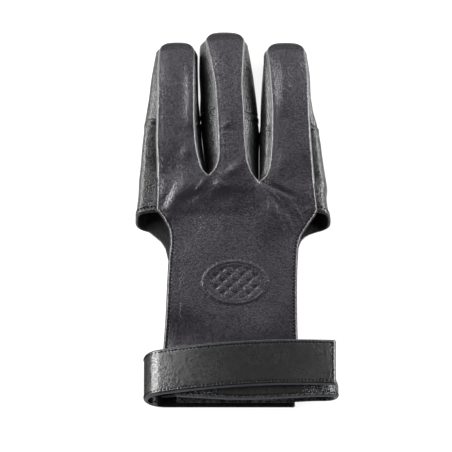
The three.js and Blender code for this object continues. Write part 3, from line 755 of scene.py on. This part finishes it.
# Materials


def linear(hex_colour):
    """An sRGB hex colour as linear red, green, blue and alpha."""
    parts = [int(hex_colour[i : i + 2], 16) / 255 for i in (1, 3, 5)]
    return (*[c / 12.92 if c <= 0.04045 else ((c + 0.055) / 1.055) ** 2.4 for c in parts], 1.0)


def add(tree, kind, inputs=None, **settings):
    """Adds a node with its settings, and its inputs as values or as links from other nodes."""
    made = tree.nodes.new(kind)
    for key, value in settings.items():
        setattr(made, key, value)
    for key, value in (inputs or {}).items():
        if isinstance(value, bpy.types.NodeSocket):
            tree.links.new(value, made.inputs[key])
        else:
            made.inputs[key].default_value = value
    return made


def material(name):
    """A new material with its Principled shader, ready for nodes."""
    made = bpy.data.materials.new(name)
    made.use_nodes = True
    return made, made.node_tree, made.node_tree.nodes["Principled BSDF"]


def leather(
    name, dark, light, grain, grain_depth, crease_depth, rough,
    shine=0.25, tint=(1, 1, 1, 1), glance=1.0, surface_uv=False,
):
    """Leather: rounded pebbles of the grain's size, soft creases drawn out along the hand, and
    slow changes of colour and roughness. The gloss is higher on pebbles than between them, by the
    shine: the lower gloss in the hollows and creases is painted shade. The gloss falls to the
    glance's share where the face is seen at a low angle."""
    made, tree, shader = material(name)
    coords = add(tree, "ShaderNodeTexCoord")
    place = coords.outputs["UV" if surface_uv else "Object"]
    wobble = add(tree, "ShaderNodeTexNoise", {"Vector": place, "Scale": 350.0, "Detail": 1.0})
    moved = add(
        tree,
        "ShaderNodeMixRGB",
        {"Fac": 0.0012, "Color1": place, "Color2": wobble.outputs["Color"]},
        blend_type="ADD",
    )
    cells = add(
        tree,
        "ShaderNodeTexVoronoi",
        {"Vector": moved.outputs["Color"], "Scale": 1000.0 / grain, "Smoothness": 0.35, "Randomness": 0.9},
        feature="SMOOTH_F1",
    )
    pebble = add(
        tree,
        "ShaderNodeMapRange",
        {
            "Value": cells.outputs["Distance"],
            "From Min": 0.15,
            "From Max": 0.75,
            "To Min": 1.0,
            "To Max": 0.0,
        },
        interpolation_type="SMOOTHSTEP",
    )
    stretch = add(tree, "ShaderNodeMapping", {"Vector": place, "Scale": (1.0, 0.35, 1.0)})
    creases = add(
        tree,
        "ShaderNodeTexNoise",
        {
            "Vector": stretch.outputs["Vector"],
            "Scale": 1500.0,
            "Detail": 2.0,
            "Roughness": 0.6,
            "Distortion": 0.4,
        },
    )
    patches = add(tree, "ShaderNodeTexNoise", {"Vector": place, "Scale": 60.0, "Detail": 3.0})
    fine = add(
        tree,
        "ShaderNodeBump",
        {"Height": pebble.outputs["Result"], "Distance": grain_depth / 1000, "Strength": 1.0},
    )
    both = add(
        tree,
        "ShaderNodeBump",
        {
            "Height": creases.outputs["Fac"],
            "Distance": crease_depth / 1000,
            "Strength": 1.0,
            "Normal": fine.outputs["Normal"],
        },
    )
    colour = add(
        tree,
        "ShaderNodeMixRGB",
        {"Fac": patches.outputs["Fac"], "Color1": linear(dark), "Color2": linear(light)},
    )
    polish = add(
        tree,
        "ShaderNodeMapRange",
        {
            "Value": patches.outputs["Fac"],
            "From Min": 0.3,
            "From Max": 0.7,
            "To Min": rough[0],
            "To Max": rough[1],
        },
    )
    relief = add(
        tree,
        "ShaderNodeMixRGB",
        {"Fac": 0.6, "Color1": pebble.outputs["Result"], "Color2": creases.outputs["Fac"]},
    )
    # The gloss from pebbles and creases: lower in their hollows, a painted shade
    gloss_with_painted_crevice_shade = add(
        tree,
        "ShaderNodeMapRange",
        {
            "Value": relief.outputs["Color"],
            "From Min": 0.3,
            "From Max": 0.85,
            "To Min": 0.5 - shine,
            "To Max": 0.5 + shine,
        },
    )
    tree.links.new(colour.outputs["Color"], shader.inputs["Base Color"])
    tree.links.new(polish.outputs["Result"], shader.inputs["Roughness"])
    facing = add(tree, "ShaderNodeLayerWeight", {"Blend": 0.5})
    scattered = add(
        tree,
        "ShaderNodeMapRange",
        {
            "Value": facing.outputs["Facing"],
            "From Min": 0.3,
            "From Max": 0.56,
            "To Min": 1.0,
            "To Max": glance,
        },
    )
    gloss = add(
        tree,
        "ShaderNodeMath",
        {0: gloss_with_painted_crevice_shade.outputs["Result"], 1: scattered.outputs["Result"]},
        operation="MULTIPLY",
    )
    tree.links.new(gloss.outputs["Value"], shader.inputs["Specular IOR Level"])
    shader.inputs["Specular Tint"].default_value = tint
    tree.links.new(both.outputs["Normal"], shader.inputs["Normal"])
    shader.inputs["IOR"].default_value = 1.5
    return made


def cloth_tape(name, colour, rib, depth, rough):
    """Hook or loop tape: woven nylon ribs across the tape, one for each rib's mm, blurred by fine
    hooks or loops. The wave texture has one wave for each full turn of 20 times its scale."""
    made, tree, shader = material(name)
    place = add(tree, "ShaderNodeTexCoord").outputs["UV"]
    ribs = add(
        tree,
        "ShaderNodeTexWave",
        {
            "Vector": place,
            "Scale": 2 * math.pi / 20 / (rib / 1000),
            "Distortion": 1.5,
            "Detail": 2.0,
            "Detail Scale": 3.0,
        },
        bands_direction="X",
    )
    fuzz = add(tree, "ShaderNodeTexNoise", {"Vector": place, "Scale": 1800.0, "Detail": 3.0})
    low = add(tree, "ShaderNodeBump", {"Height": ribs.outputs["Fac"], "Distance": depth / 1000})
    bump = add(
        tree,
        "ShaderNodeBump",
        {"Height": fuzz.outputs["Fac"], "Distance": 0.3 / 1000, "Normal": low.outputs["Normal"]},
    )
    tree.links.new(bump.outputs["Normal"], shader.inputs["Normal"])
    shader.inputs["Base Color"].default_value = linear(colour)
    shader.inputs["Roughness"].default_value = rough
    shader.inputs["Specular IOR Level"].default_value = 0.25
    return made


# Smooth cowhide, dyed black and lightly polished: fine pores, soft lengthwise creases, wide sheen
smooth_leather = leather(
    "smooth_cowhide_black", "#0c0b0e", "#121014", 0.8, 0.05, 0.05, (0.24, 0.3),
    shine=0.28, tint=(0.98, 0.955, 1.0, 1.0), glance=0.05,
)
# Pebble-grained cowhide, dyed black: round pebbles of about 0.7 mm that glint one by one
grained_leather = leather(
    "pebbled_cowhide_black", "#0a0a0b", "#101011", 0.66, 0.1, 0.04, (0.28, 0.36), shine=0.35
)
# The strap's grained cowhide: smaller, flatter pebbles, pressed in rolling
strap_leather = leather(
    "rolled_strap_leather_black", "#0a0a0a", "#0e0e0e", 0.6, 0.045, 0.02, (0.25, 0.29),
    shine=0.22, glance=0.05, surface_uv=True,
)
# The wrist band's cowhide: coarser, rounder pebbles that break its highlights into glints
band_leather = leather(
    "coarse_band_leather_black", "#0d0d0e", "#141415", 0.95, 0.2, 0.04, (0.42, 0.5),
    shine=0.4, surface_uv=True,
)
# The flesh side of the leather: matt suede, almost without gloss
flesh_side = leather("black_suede_flesh_side", "#0e0e10", "#151518", 0.6, 0.1, 0.1, (0.85, 0.95))
# The back strips' turned edges: the same cowhide, glossier, in a much paler colour that is a painted
# highlight, the bright line that side light makes along each rolled seam edge
paler_edge_painted_highlight = leather("rolled_cowhide_edge_painted_highlight", "#383838", "#464646", 0.7, 0.02, 0.03, (0.26, 0.32))
# The strap's cut edges: blue-grey fibres under a thin edge dressing
edge_leather = leather("dressed_leather_edge", "#1e1f26", "#292b33", 0.5, 0.05, 0.05, (0.45, 0.6))
# Woven nylon hook and loop tapes
loop_tape = cloth_tape("nylon_loop_tape_black", "#050506", 0.69, 0.45, 0.95)
hook_tape = cloth_tape("nylon_hook_tape_black", "#0f0f10", 0.88, 0.3, 0.7)
# Waxed polyester thread, black and matt: darker than the leather that it is sunk in
thread, _, thread_shader = material("waxed_polyester_thread_black")
thread_shader.inputs["Base Color"].default_value = linear("#030303")
thread_shader.inputs["Roughness"].default_value = 0.75
thread_shader.inputs["Specular IOR Level"].default_value = 0.05


# The back panel

STRIP_COLUMNS = 34
ACROSS = (1 - np.cos(np.linspace(0, np.pi, STRIP_COLUMNS + 1))) / 2
LOWER_ROWS = np.concatenate([np.linspace(0, 0.1, 16)[:-1], np.linspace(0.1, 1, 76)])
TIP_ANGLES = np.radians(np.linspace(0, 116, 22)[1:])


def roll(distance, radius):
    """How far a turned edge drops: a parabola over the last radius before the edge."""
    return 0.75 * radius * np.clip(1 - distance / radius, 0.0, 1.0) ** 2


def edge_bead(distance):
    """The turned edge's swelling, and the shallow channel that its seam pulls in beside it."""
    return 0.1 * hump(distance - 0.55, 0.4) - 0.08 * hump(distance - 1.9, 0.9)


def strip_surface(slot, depth):
    """A finger's back strip at a depth below its face."""
    at = np.concatenate([LOWER_ROWS, np.ones(len(TIP_ANGLES))])
    angle = np.concatenate([np.zeros(len(LOWER_ROWS)), TIP_ANGLES])
    section = finger(slot, at)
    x, y, z = strip_points(section, ACROSS[None, :])
    width = section["seam_right"] - section["seam_left"]
    left, right = width * ACROSS[None, :], width * (1 - ACROSS[None, :])
    grow = smooth(section["at"] / 0.05)
    grow_left = 1.0 if slot == 0 else grow
    grow_right = (grow, mix(grow, MIDDLE_RIGHT_ROLL, smooth((section["at"] - 0.3) / 0.2)), 1.0)[slot]
    z = z + wrinkles(x, y) * (1 - 0.5 * smooth(section["at"] / 0.3))
    if depth == 0:
        z = z - roll(left, EDGE_ROLL * grow_left + 1e-6) - roll(right, EDGE_ROLL * grow_right + 1e-6)
        z = z + edge_bead(left) * grow_left + edge_bead(right) * grow_right
    z = z - depth
    return np.stack(round_tip(section, x, y, z, angle, depth, 0.36), -1)


def ornament(x, y):
    """A blind-embossed oval: two raised lines round a lattice of diamonds."""
    right, up = x - ORNAMENT_MIDDLE[0], y - ORNAMENT_MIDDLE[1]
    ring = np.hypot(right / ORNAMENT_HALF_SIZE[0], up / ORNAMENT_HALF_SIZE[1])
    lines = 0.4 * hump((ring - 1.0) * 12.5, 0.6) + 0.22 * hump((ring - 0.86) * 12.5, 0.4)
    waves = [np.abs(np.sin(across * np.pi / LATTICE_STEP)) for across in (right + up, right - up)]
    inside = smooth((0.8 - ring) / 0.06)
    return lines + inside * (0.42 * smooth(waves[0] * waves[1] / 0.42) - 0.34)


def guide_lines(x, y):
    """Depth of the two lines pressed along the tongue, which fade out at their ends."""
    depth = 0.0
    for place, top, bottom in zip(GUIDE_LINES["x"], GUIDE_LINES["top"], GUIDE_LINES["bottom"]):
        depth = depth + 0.13 * hump(x - place, 0.28) * smooth((top - y) / 4) * smooth((y - bottom) / 4)
    return depth


def hand_back_surface(depth):
    """The back panel below the webs: the knuckles and the tongue, on the strips' columns."""
    edges = []
    for slot in range(3):
        section = finger(slot, [0.0])
        x, y, _ = strip_points(section, ACROSS[None, :])
        edges.append(np.stack([x[0], np.broadcast_to(y, x.shape)[0]], -1)[1 if slot else 0 :])
    web = np.concatenate(edges)
    shares = (web[:, 0] - KNEE_LEFT) / (KNEE_RIGHT - KNEE_LEFT)
    even = np.linspace(0, 1, len(shares))
    knuckle = np.linspace(1, 0, 40)[:, None]
    tongue_rows = np.linspace(0, -TONGUE_LENGTH, 170)[1:, None]
    y = np.concatenate([web[None, :, 1] * knuckle, tongue_rows * np.ones((1, len(web)))])
    turned = smooth(np.concatenate([1 - knuckle, np.ones_like(tongue_rows)]) / 0.9)
    centred = (1 - np.cos(np.pi * even)) / 2
    spread = mix(shares[None, :], mix(even, centred, 0.6)[None, :], turned)
    left, right = back_edges(y)
    x = mix(left, right, spread)
    z = back_height(x, y) + wrinkles(x, y)
    if depth == 0:
        from_left, from_right = x - left, right - x
        tongue = smooth((-y - 2) / 8)
        radius = mix(EDGE_ROLL, TONGUE_ROLL, tongue)
        z = z - roll(from_left, radius) - roll(from_right, radius)
        z = z + (edge_bead(from_left) + edge_bead(from_right)) * (1 - tongue)
        stitched = hump(from_left - TONGUE_STITCH, 0.35) + hump(from_right - TONGUE_STITCH, 0.35)
        puckers = 0.6 + 0.4 * np.cos(2 * np.pi * y / STITCH_PITCH)
        z = z - tongue * 0.16 * stitched * puckers
        z = z - guide_lines(x, y) + ornament(x, y)
    return np.stack([x, y, z - depth], -1)[::-1]


def make_back():
    """The back panel: three strips and the hand's back, with turned edges on the strips, whose outer columns
    carry a painted highlight.
    """
    sheets = []
    for slot in range(3):
        outer, inner = strip_surface(slot, 0), strip_surface(slot, BACK_LEATHER)
        # The four outermost columns on each side of a strip take the pale edge colour: a painted highlight
        # along the seam
        sheets += shell(outer, inner, lining=1, edge=2, ends=("stop", "left", "right"), borders=(4, 4))
    outer, inner = hand_back_surface(0), hand_back_surface(BACK_LEATHER)
    sheets += shell(outer, inner, lining=1, edge=1, ends=("start", "left", "right"))
    hides = [smooth_leather, flesh_side, paler_edge_painted_highlight]
    return piece("back_leather", sheets, hides, ["back_panel"])


# The palm panel and the fingertip stalls


def seam_swell(distance):
    """Beside a cross-seam, at a distance in mm: a ridge of turned leather and its puckers."""
    return 0.28 * hump(distance - 0.5, 0.6) - 0.2 * hump(distance - 1.9, 0.7)


def wrap_relief(slot, points, at, above):
    """Relief of a finger's wrap: piping along the seams, and the cross-seam's ridge and puckers."""
    at = np.asarray(at)[:, None]
    walked = lengths(points, 1)
    from_left, from_right = walked - SEAM_LAP, walked[:, -1:] - walked - SEAM_LAP
    straight = FINGER_LENGTHS[slot] - TIP_ROUNDING
    relief = (-0.15 if above else -0.45) * (hump(from_left, 1.2) + hump(from_right, 1.2))
    piping = (slot == 2) * hump(from_left - 2.6, 0.55) + (slot == 0) * hump(from_right - 2.4, 0.5)
    ribs = 0.75 + 0.25 * np.cos(2 * np.pi * at * straight / 1.1)
    relief = relief + 0.5 * piping * ribs
    off = np.abs(at - TIP_SEAMS[slot]) * straight
    pucker = np.cos(2 * np.pi * walked / 2.3) * hump(off - 1.6, 2.2)
    relief = relief + seam_swell(off) + (0.2 if above else 0.1) * pucker
    soft = value_noise(walked, at * straight * 0.6, 5.0, 11 + slot)
    return (relief + 0.08 * soft) * smooth(at / 0.12)


def wrap_shell(slot, at, angle, leather_wall, above, ends):
    """A finger's wrap as a wall with its relief, over the given shares of the stall."""
    at, angle = np.asarray(at, float)[::-1], np.asarray(angle, float)[::-1]
    outer = wrap_points(slot, at, angle, 0.0)
    outer = outer + normals(outer) * wrap_relief(slot, outer, at, above)[..., None]
    inner = wrap_points(slot, at, angle, leather_wall)
    return shell(outer, inner, lining=1, ends=ends)


def make_palm():
    """The palm panel: the hand with its stitched hem, and the three wraps up to their seams."""
    down = np.concatenate([np.linspace(0, 0.85, 26)[:-1], np.linspace(0.85, 1, 14)])
    outer, inner = hand_points(down, 0.0), hand_points(down, PALM_LEATHER)
    from_hem = lengths(outer, 0)[-1:, :] - lengths(outer, 0)
    columns = lengths(outer, 1)[-1:, :]
    soft = 0.3 * value_noise(columns, from_hem, 7.0, 21) * smooth(from_hem / 2) * smooth(down / 0.2)[:, None]
    hem = 0.15 * hump(from_hem - 0.6, 0.7) - 0.18 * hump(from_hem - HEM_STITCH, 0.35) * (
        0.6 + 0.4 * np.cos(2 * np.pi * columns / STITCH_PITCH)
    )
    outer = outer + normals(outer) * ((soft + hem) * smooth(down / 0.2)[:, None])[..., None]
    sheets = shell(outer, inner, lining=1, ends=("stop", "left", "right"))
    for slot in range(3):
        straight = FINGER_LENGTHS[slot] - TIP_ROUNDING
        end = TIP_SEAMS[slot] - SEAM_GAP / 2 / straight
        near_web, between = np.linspace(0, 0.09, 14), np.linspace(0.09, end - 0.07, 56)
        at = np.concatenate([near_web[:-1], between[:-1], np.linspace(end - 0.07, end, 22)])
        sheets += wrap_shell(slot, at, np.zeros(len(at)), PALM_LEATHER, False, ("start", "left", "right"))
    return piece("palm_leather", sheets, [grained_leather, flesh_side], ["palm_panel"])


def make_fingertip(slot, name):
    """A fingertip's stall, from the cross-seam until it has turned under the strip's tip."""
    straight = FINGER_LENGTHS[slot] - TIP_ROUNDING
    start = TIP_SEAMS[slot] + SEAM_GAP / 2 / straight
    tip = np.radians(np.linspace(0, 72, 14)[1:])
    near_seam = np.linspace(start, start + 0.08, 24)
    at = np.concatenate([near_seam[:-1], np.linspace(start + 0.08, 1, 90), np.ones(len(tip))])
    angle = np.concatenate([np.zeros(len(at) - len(tip)), tip])
    sheets = wrap_shell(slot, at, angle, TIP_LEATHER, True, ("start", "stop", "left", "right"))
    hides = [grained_leather, flesh_side]
    return piece(name + "_stall", sheets, hides, ["fingertip_" + name])


# The wrist loop


def band_edges(distance):
    """The wrist band's lower and upper edge. It rises round the bends, most at the right one."""
    low = BAND_LOW + BAND_BULGE * smooth(np.abs(distance) / (TOP_RUN + BEND_RUN))
    low = low + 0.8 * smooth((distance - TOP_RUN) / BEND_RUN) * smooth((FLOOR_START + 22 - distance) / 20)
    return low, low + BAND_WIDTH


def tape_edges(distance):
    """The loop tape's edges. Past TAPE_STEP its lower edge lies up under the closing strap."""
    low, high = band_edges(distance)
    return low + 8.0 * smooth((distance - TAPE_STEP) / 0.8), high


def tuck(distance, up):
    """How far the right bend is drawn in under the closing strap, over its upper part."""
    return TUCK * smooth((distance - TOP_RUN + 3.0) / 5.0) * smooth((up - 5.0) / 8.0)


def strap_edges(distance):
    """The closing strap's lower and upper edge, which slant evenly over the tongue."""
    low = BAND_LOW + STRAP_ABOVE_BAND + STRAP_SLANT * np.maximum(distance, -TOP_RUN - BEND_RUN / 2)
    return low, low + STRAP_WIDTH


def strap_offset(distance):
    """The strap's inner face: close to the path on the floor, over both tapes on top."""
    return mix(TAIL_INNER, STRAP_INNER, smooth((distance + TOP_RUN + BEND_RUN) / BEND_RUN))


def strap_relief(y, low, high, distance, ends):
    """A strap's outer face: flat between two stitched channels, with round beads at its edges."""
    edge = np.minimum(y - low, high - y)
    for end in ends:
        edge = np.minimum(edge, np.abs(distance - end) + 0.1)
    dimple = 0.65 + 0.35 * np.cos(2 * np.pi * distance / STITCH_PITCH)
    channel = 0.14 * hump(edge - STRAP_STITCH, 0.4) * dimple
    return 0.1 * hump(edge - 0.5, 0.4) - channel - 0.35 * hump(edge, 0.35)


def constant(value):
    """A function of the distance along the loop that has the same value everywhere."""

    def of_distance(distance):
        return value + 0.0 * distance

    return of_distance


def loop_sheets(start, stop, edges, offset, wall, straight_end=False, relief=True, ends=(), margin=0.0):
    """A strap carried along the loop's path: its face at the offset plus its wall's thickness. Its
    columns lie closer near the edges, and only the band and its tape are tucked in."""
    distance = np.linspace(start, stop, int(abs(stop - start) / 0.6))[None, :]
    low, high = edges(distance)
    low, high = low + margin, high - margin
    even = np.linspace(0, 1, 41)
    v = mix((1 - np.cos(np.pi * even)) / 2, even, 0.5)[:, None]
    y = mix(low, high, v)
    thick = wall + (strap_relief(y, low, high, distance, ends) if relief else 0.0)
    far = np.broadcast_to(distance, y.shape)
    tucked = 0.0 if straight_end else tuck(far, y - low)
    faces = []
    for out in (offset(far) + thick, offset(far)):
        x, z = loop_point(far, out, straight_end)
        faces.append(np.stack([x - tucked, y, lean(y, z)], -1))
    return faces[0], faces[1], np.stack([far, y - low], -1)


FLOOR_START = TOP_RUN + BEND_RUN
STRAP_END = TOP_RUN + STRAP_REACH - HALF_STRAIGHT
PATCH_END = min(TOP_RUN, STRAP_END - PATCH_MARGIN)
STRAP_START = -FLOOR_START - STRAP_TAIL
BAND_STOP = FLOOR_START + HALF_STRAIGHT + BAND_FLOOR_REACH


def dressed(sheets, distance):
    """Leaves the edge dressing off the run that lies on the floor."""
    on_floor = np.abs(distance) > FLOOR_START - 4.0
    dressing = np.where(on_floor[:-1], 0, 1)[None, :]
    changed = []
    for grid, uv, face in sheets:
        lengthwise = face == 1 and grid.shape[1] == len(distance)
        changed.append((grid, uv, dressing if lengthwise else face))
    return changed


STRAPS = (
    ("closing_strap", STRAP_START, STRAP_END, strap_edges, strap_offset, True, strap_leather),
    ("wrist_band", -BAND_TOP_REACH, BAND_STOP, band_edges, constant(0.0), False, band_leather),
)
TAPES = (
    ("loop", LOOP_PATCH_LENGTH, tape_edges, LOOP_PATCH_INNER, LOOP_PATCH, loop_tape),
    ("hook", HOOK_PATCH_LENGTH, strap_edges, HOOK_PATCH_INNER, HOOK_PATCH, hook_tape),
)


def make_loop():
    """The closing strap and the wrist band, and the two tapes of their closure."""
    for node, start, stop, edges, offset, straight_end, hide in STRAPS:
        outer, inner, uv = loop_sheets(
            start, stop, edges, offset, STRAP_LEATHER, straight_end, ends=(start, stop)
        )
        sheets = dressed(shell(outer, inner, uv, edge=1), uv[0, :, 0])
        piece(node + "_leather", sheets, [hide, edge_leather], [node])
    for kind, length, edges, inset, wall, tape in TAPES:
        start = PATCH_END - length
        outer, inner, uv = loop_sheets(
            start, PATCH_END, edges, constant(inset), wall, relief=False, margin=PATCH_MARGIN
        )
        piece(kind + "_tape", shell(outer, inner, uv), [tape], [kind + "_patch"])


make_back()
make_palm()
for slot, name in enumerate(("index", "middle", "ring")):
    make_fingertip(slot, name)
make_loop()


# Stitches


def tongue_line(side):
    """The seam beside one edge of the tongue: its places and their upward directions."""
    y = np.linspace(-1.0, -84.0, 200)
    edge = back_edges(y)[0 if side < 0 else 1]
    x = edge - side * TONGUE_STITCH
    z = back_height(x, y) + wrinkles(x, y)
    return np.stack([x, y, z], -1), np.tile([0.0, 0.0, 1.0], (len(y), 1))


def hem_line():
    """The seam inside the palm's hem: in each column, the row nearest to the stitches' distance."""
    outer = hand_points(np.linspace(0, 1, 200), 0.0)
    along = lengths(outer, 0)
    row = np.argmin(np.abs(along[-1:, :] - along - HEM_STITCH), axis=0)
    columns = np.arange(outer.shape[1])
    up = normals(outer)[row, columns]
    return outer[row, columns] + up * 0.02, up


def strap_line(start, stop, edges, offset, side, straight_end):
    """The seam beside a strap's lower (-1) or upper (1) edge."""
    distance = np.linspace(start, stop, 400)
    low, high = edges(distance)
    y = low + STRAP_STITCH if side < 0 else high - STRAP_STITCH
    raised = offset(distance) + STRAP_LEATHER - STITCH_SINK
    x, z = loop_point(distance, raised, straight_end)
    over_x, over_z = loop_point(distance, raised + 1.0, straight_end)
    tucked = 0.0 if straight_end else tuck(distance, y - low)
    return np.stack([x - tucked, y, lean(y, z)], -1), np.stack([over_x - x, 0 * x, over_z - z], -1)


def strap_end_line():
    """The seam across the closing strap's free end."""
    distance = np.full(60, STRAP_END - STRAP_STITCH)
    low, high = strap_edges(distance)
    y = np.linspace(low[0] + 2.2, high[0] - 2.2, len(distance))
    raised = strap_offset(distance) + STRAP_LEATHER - STITCH_SINK
    x, z = loop_point(distance, raised, straight_end=True)
    return np.stack([x, y, lean(y, z)], -1), np.tile([0.0, 0.0, 1.0], (len(y), 1))


strap_seams = [
    strap_line(start + 1.5, stop - 1.5, edges, offset, side, straight_end)
    for _, start, stop, edges, offset, straight_end, _ in STRAPS
    for side in (-1, 1)
]
stitches("tongue_stitches", [tongue_line(-1), tongue_line(1)])
stitches("hem_stitches", [hem_line()])
stitches("strap_stitches", strap_seams + [strap_end_line()])

# Floor, light and camera

# White film lit from below, as on a light table: it stays white right up to the glove
film, film_tree, film_shader = material("backlit_white_film")
film_shader.inputs["Base Color"].default_value = linear("#646464")
film_shader.inputs["Roughness"].default_value = 0.95
film_shader.inputs["Specular IOR Level"].default_value = 0.1
film_shader.inputs["Emission Color"].default_value = (1.0, 1.0, 1.0, 1.0)
film_shader.inputs["Emission Strength"].default_value = 0.88
bpy.ops.mesh.primitive_plane_add(size=6.0, location=(0, 0, -0.0002))
floor = bpy.context.object
floor.name = "floor"
floor.data.materials.append(film)


def softbox(name, place, aim, size, power):
    """A rectangular studio light at a place, facing a point."""
    data = bpy.data.lights.new(name, "AREA")
    data.shape, data.size, data.size_y, data.energy = "RECTANGLE", size[0], size[1], power
    made = bpy.data.objects.new(name, data)
    made.location = place
    made.rotation_euler = (Vector(aim) - Vector(place)).to_track_quat("-Z", "Y").to_euler()
    bpy.context.scene.collection.objects.link(made)


softbox("left_softbox", (-0.8, 0.2, 0.53), (0, 0, 0.01), (1.3, 0.68), 52)
softbox("left_upper_softbox", (-0.65, 0.2, 0.76), (0, 0, 0.01), (1.2, 0.34), 2.2)
softbox("right_softbox", (0.84, 0.25, 0.38), (0, 0, 0.01), (1.3, 0.5), 42)
softbox("back_softbox", (0.0, 1.49, 1.34), (0, 0.0, 0), (2.4, 2.4), 30)

world = bpy.data.worlds.new("studio")
world.use_nodes = True
world.node_tree.nodes["Background"].inputs["Color"].default_value = (1, 1, 1, 1)
world.node_tree.nodes["Background"].inputs["Strength"].default_value = 0.1
bpy.context.scene.world = world
bpy.context.scene.view_settings.view_transform = "Standard"

CAMERA_ELEVATION = math.radians(69.5)
CAMERA_DISTANCE = 4.0
PIXELS_PER_METRE = 2002.0
IMAGE_WIDTH = 452
# The glove's origin lies this many pixels right of and above the picture's middle
ORIGIN_RIGHT, ORIGIN_UP = 10.6, 2.3
camera_data = bpy.data.cameras.new("camera")
camera_data.sensor_width = 36.0
camera_data.lens = PIXELS_PER_METRE * CAMERA_DISTANCE * camera_data.sensor_width / IMAGE_WIDTH
camera = bpy.data.objects.new("camera", camera_data)
bpy.context.scene.collection.objects.link(camera)
back = Vector((0, -math.cos(CAMERA_ELEVATION), math.sin(CAMERA_ELEVATION)))
up = Vector((0, math.sin(CAMERA_ELEVATION), math.cos(CAMERA_ELEVATION)))
aim = Vector((-ORIGIN_RIGHT / PIXELS_PER_METRE, 0, 0)) - up * (ORIGIN_UP / PIXELS_PER_METRE)
camera.location = aim + back * CAMERA_DISTANCE
camera.rotation_euler = (-back).to_track_quat("-Z", "Y").to_euler()
camera_data.clip_end = 20.0
bpy.context.scene.camera = camera
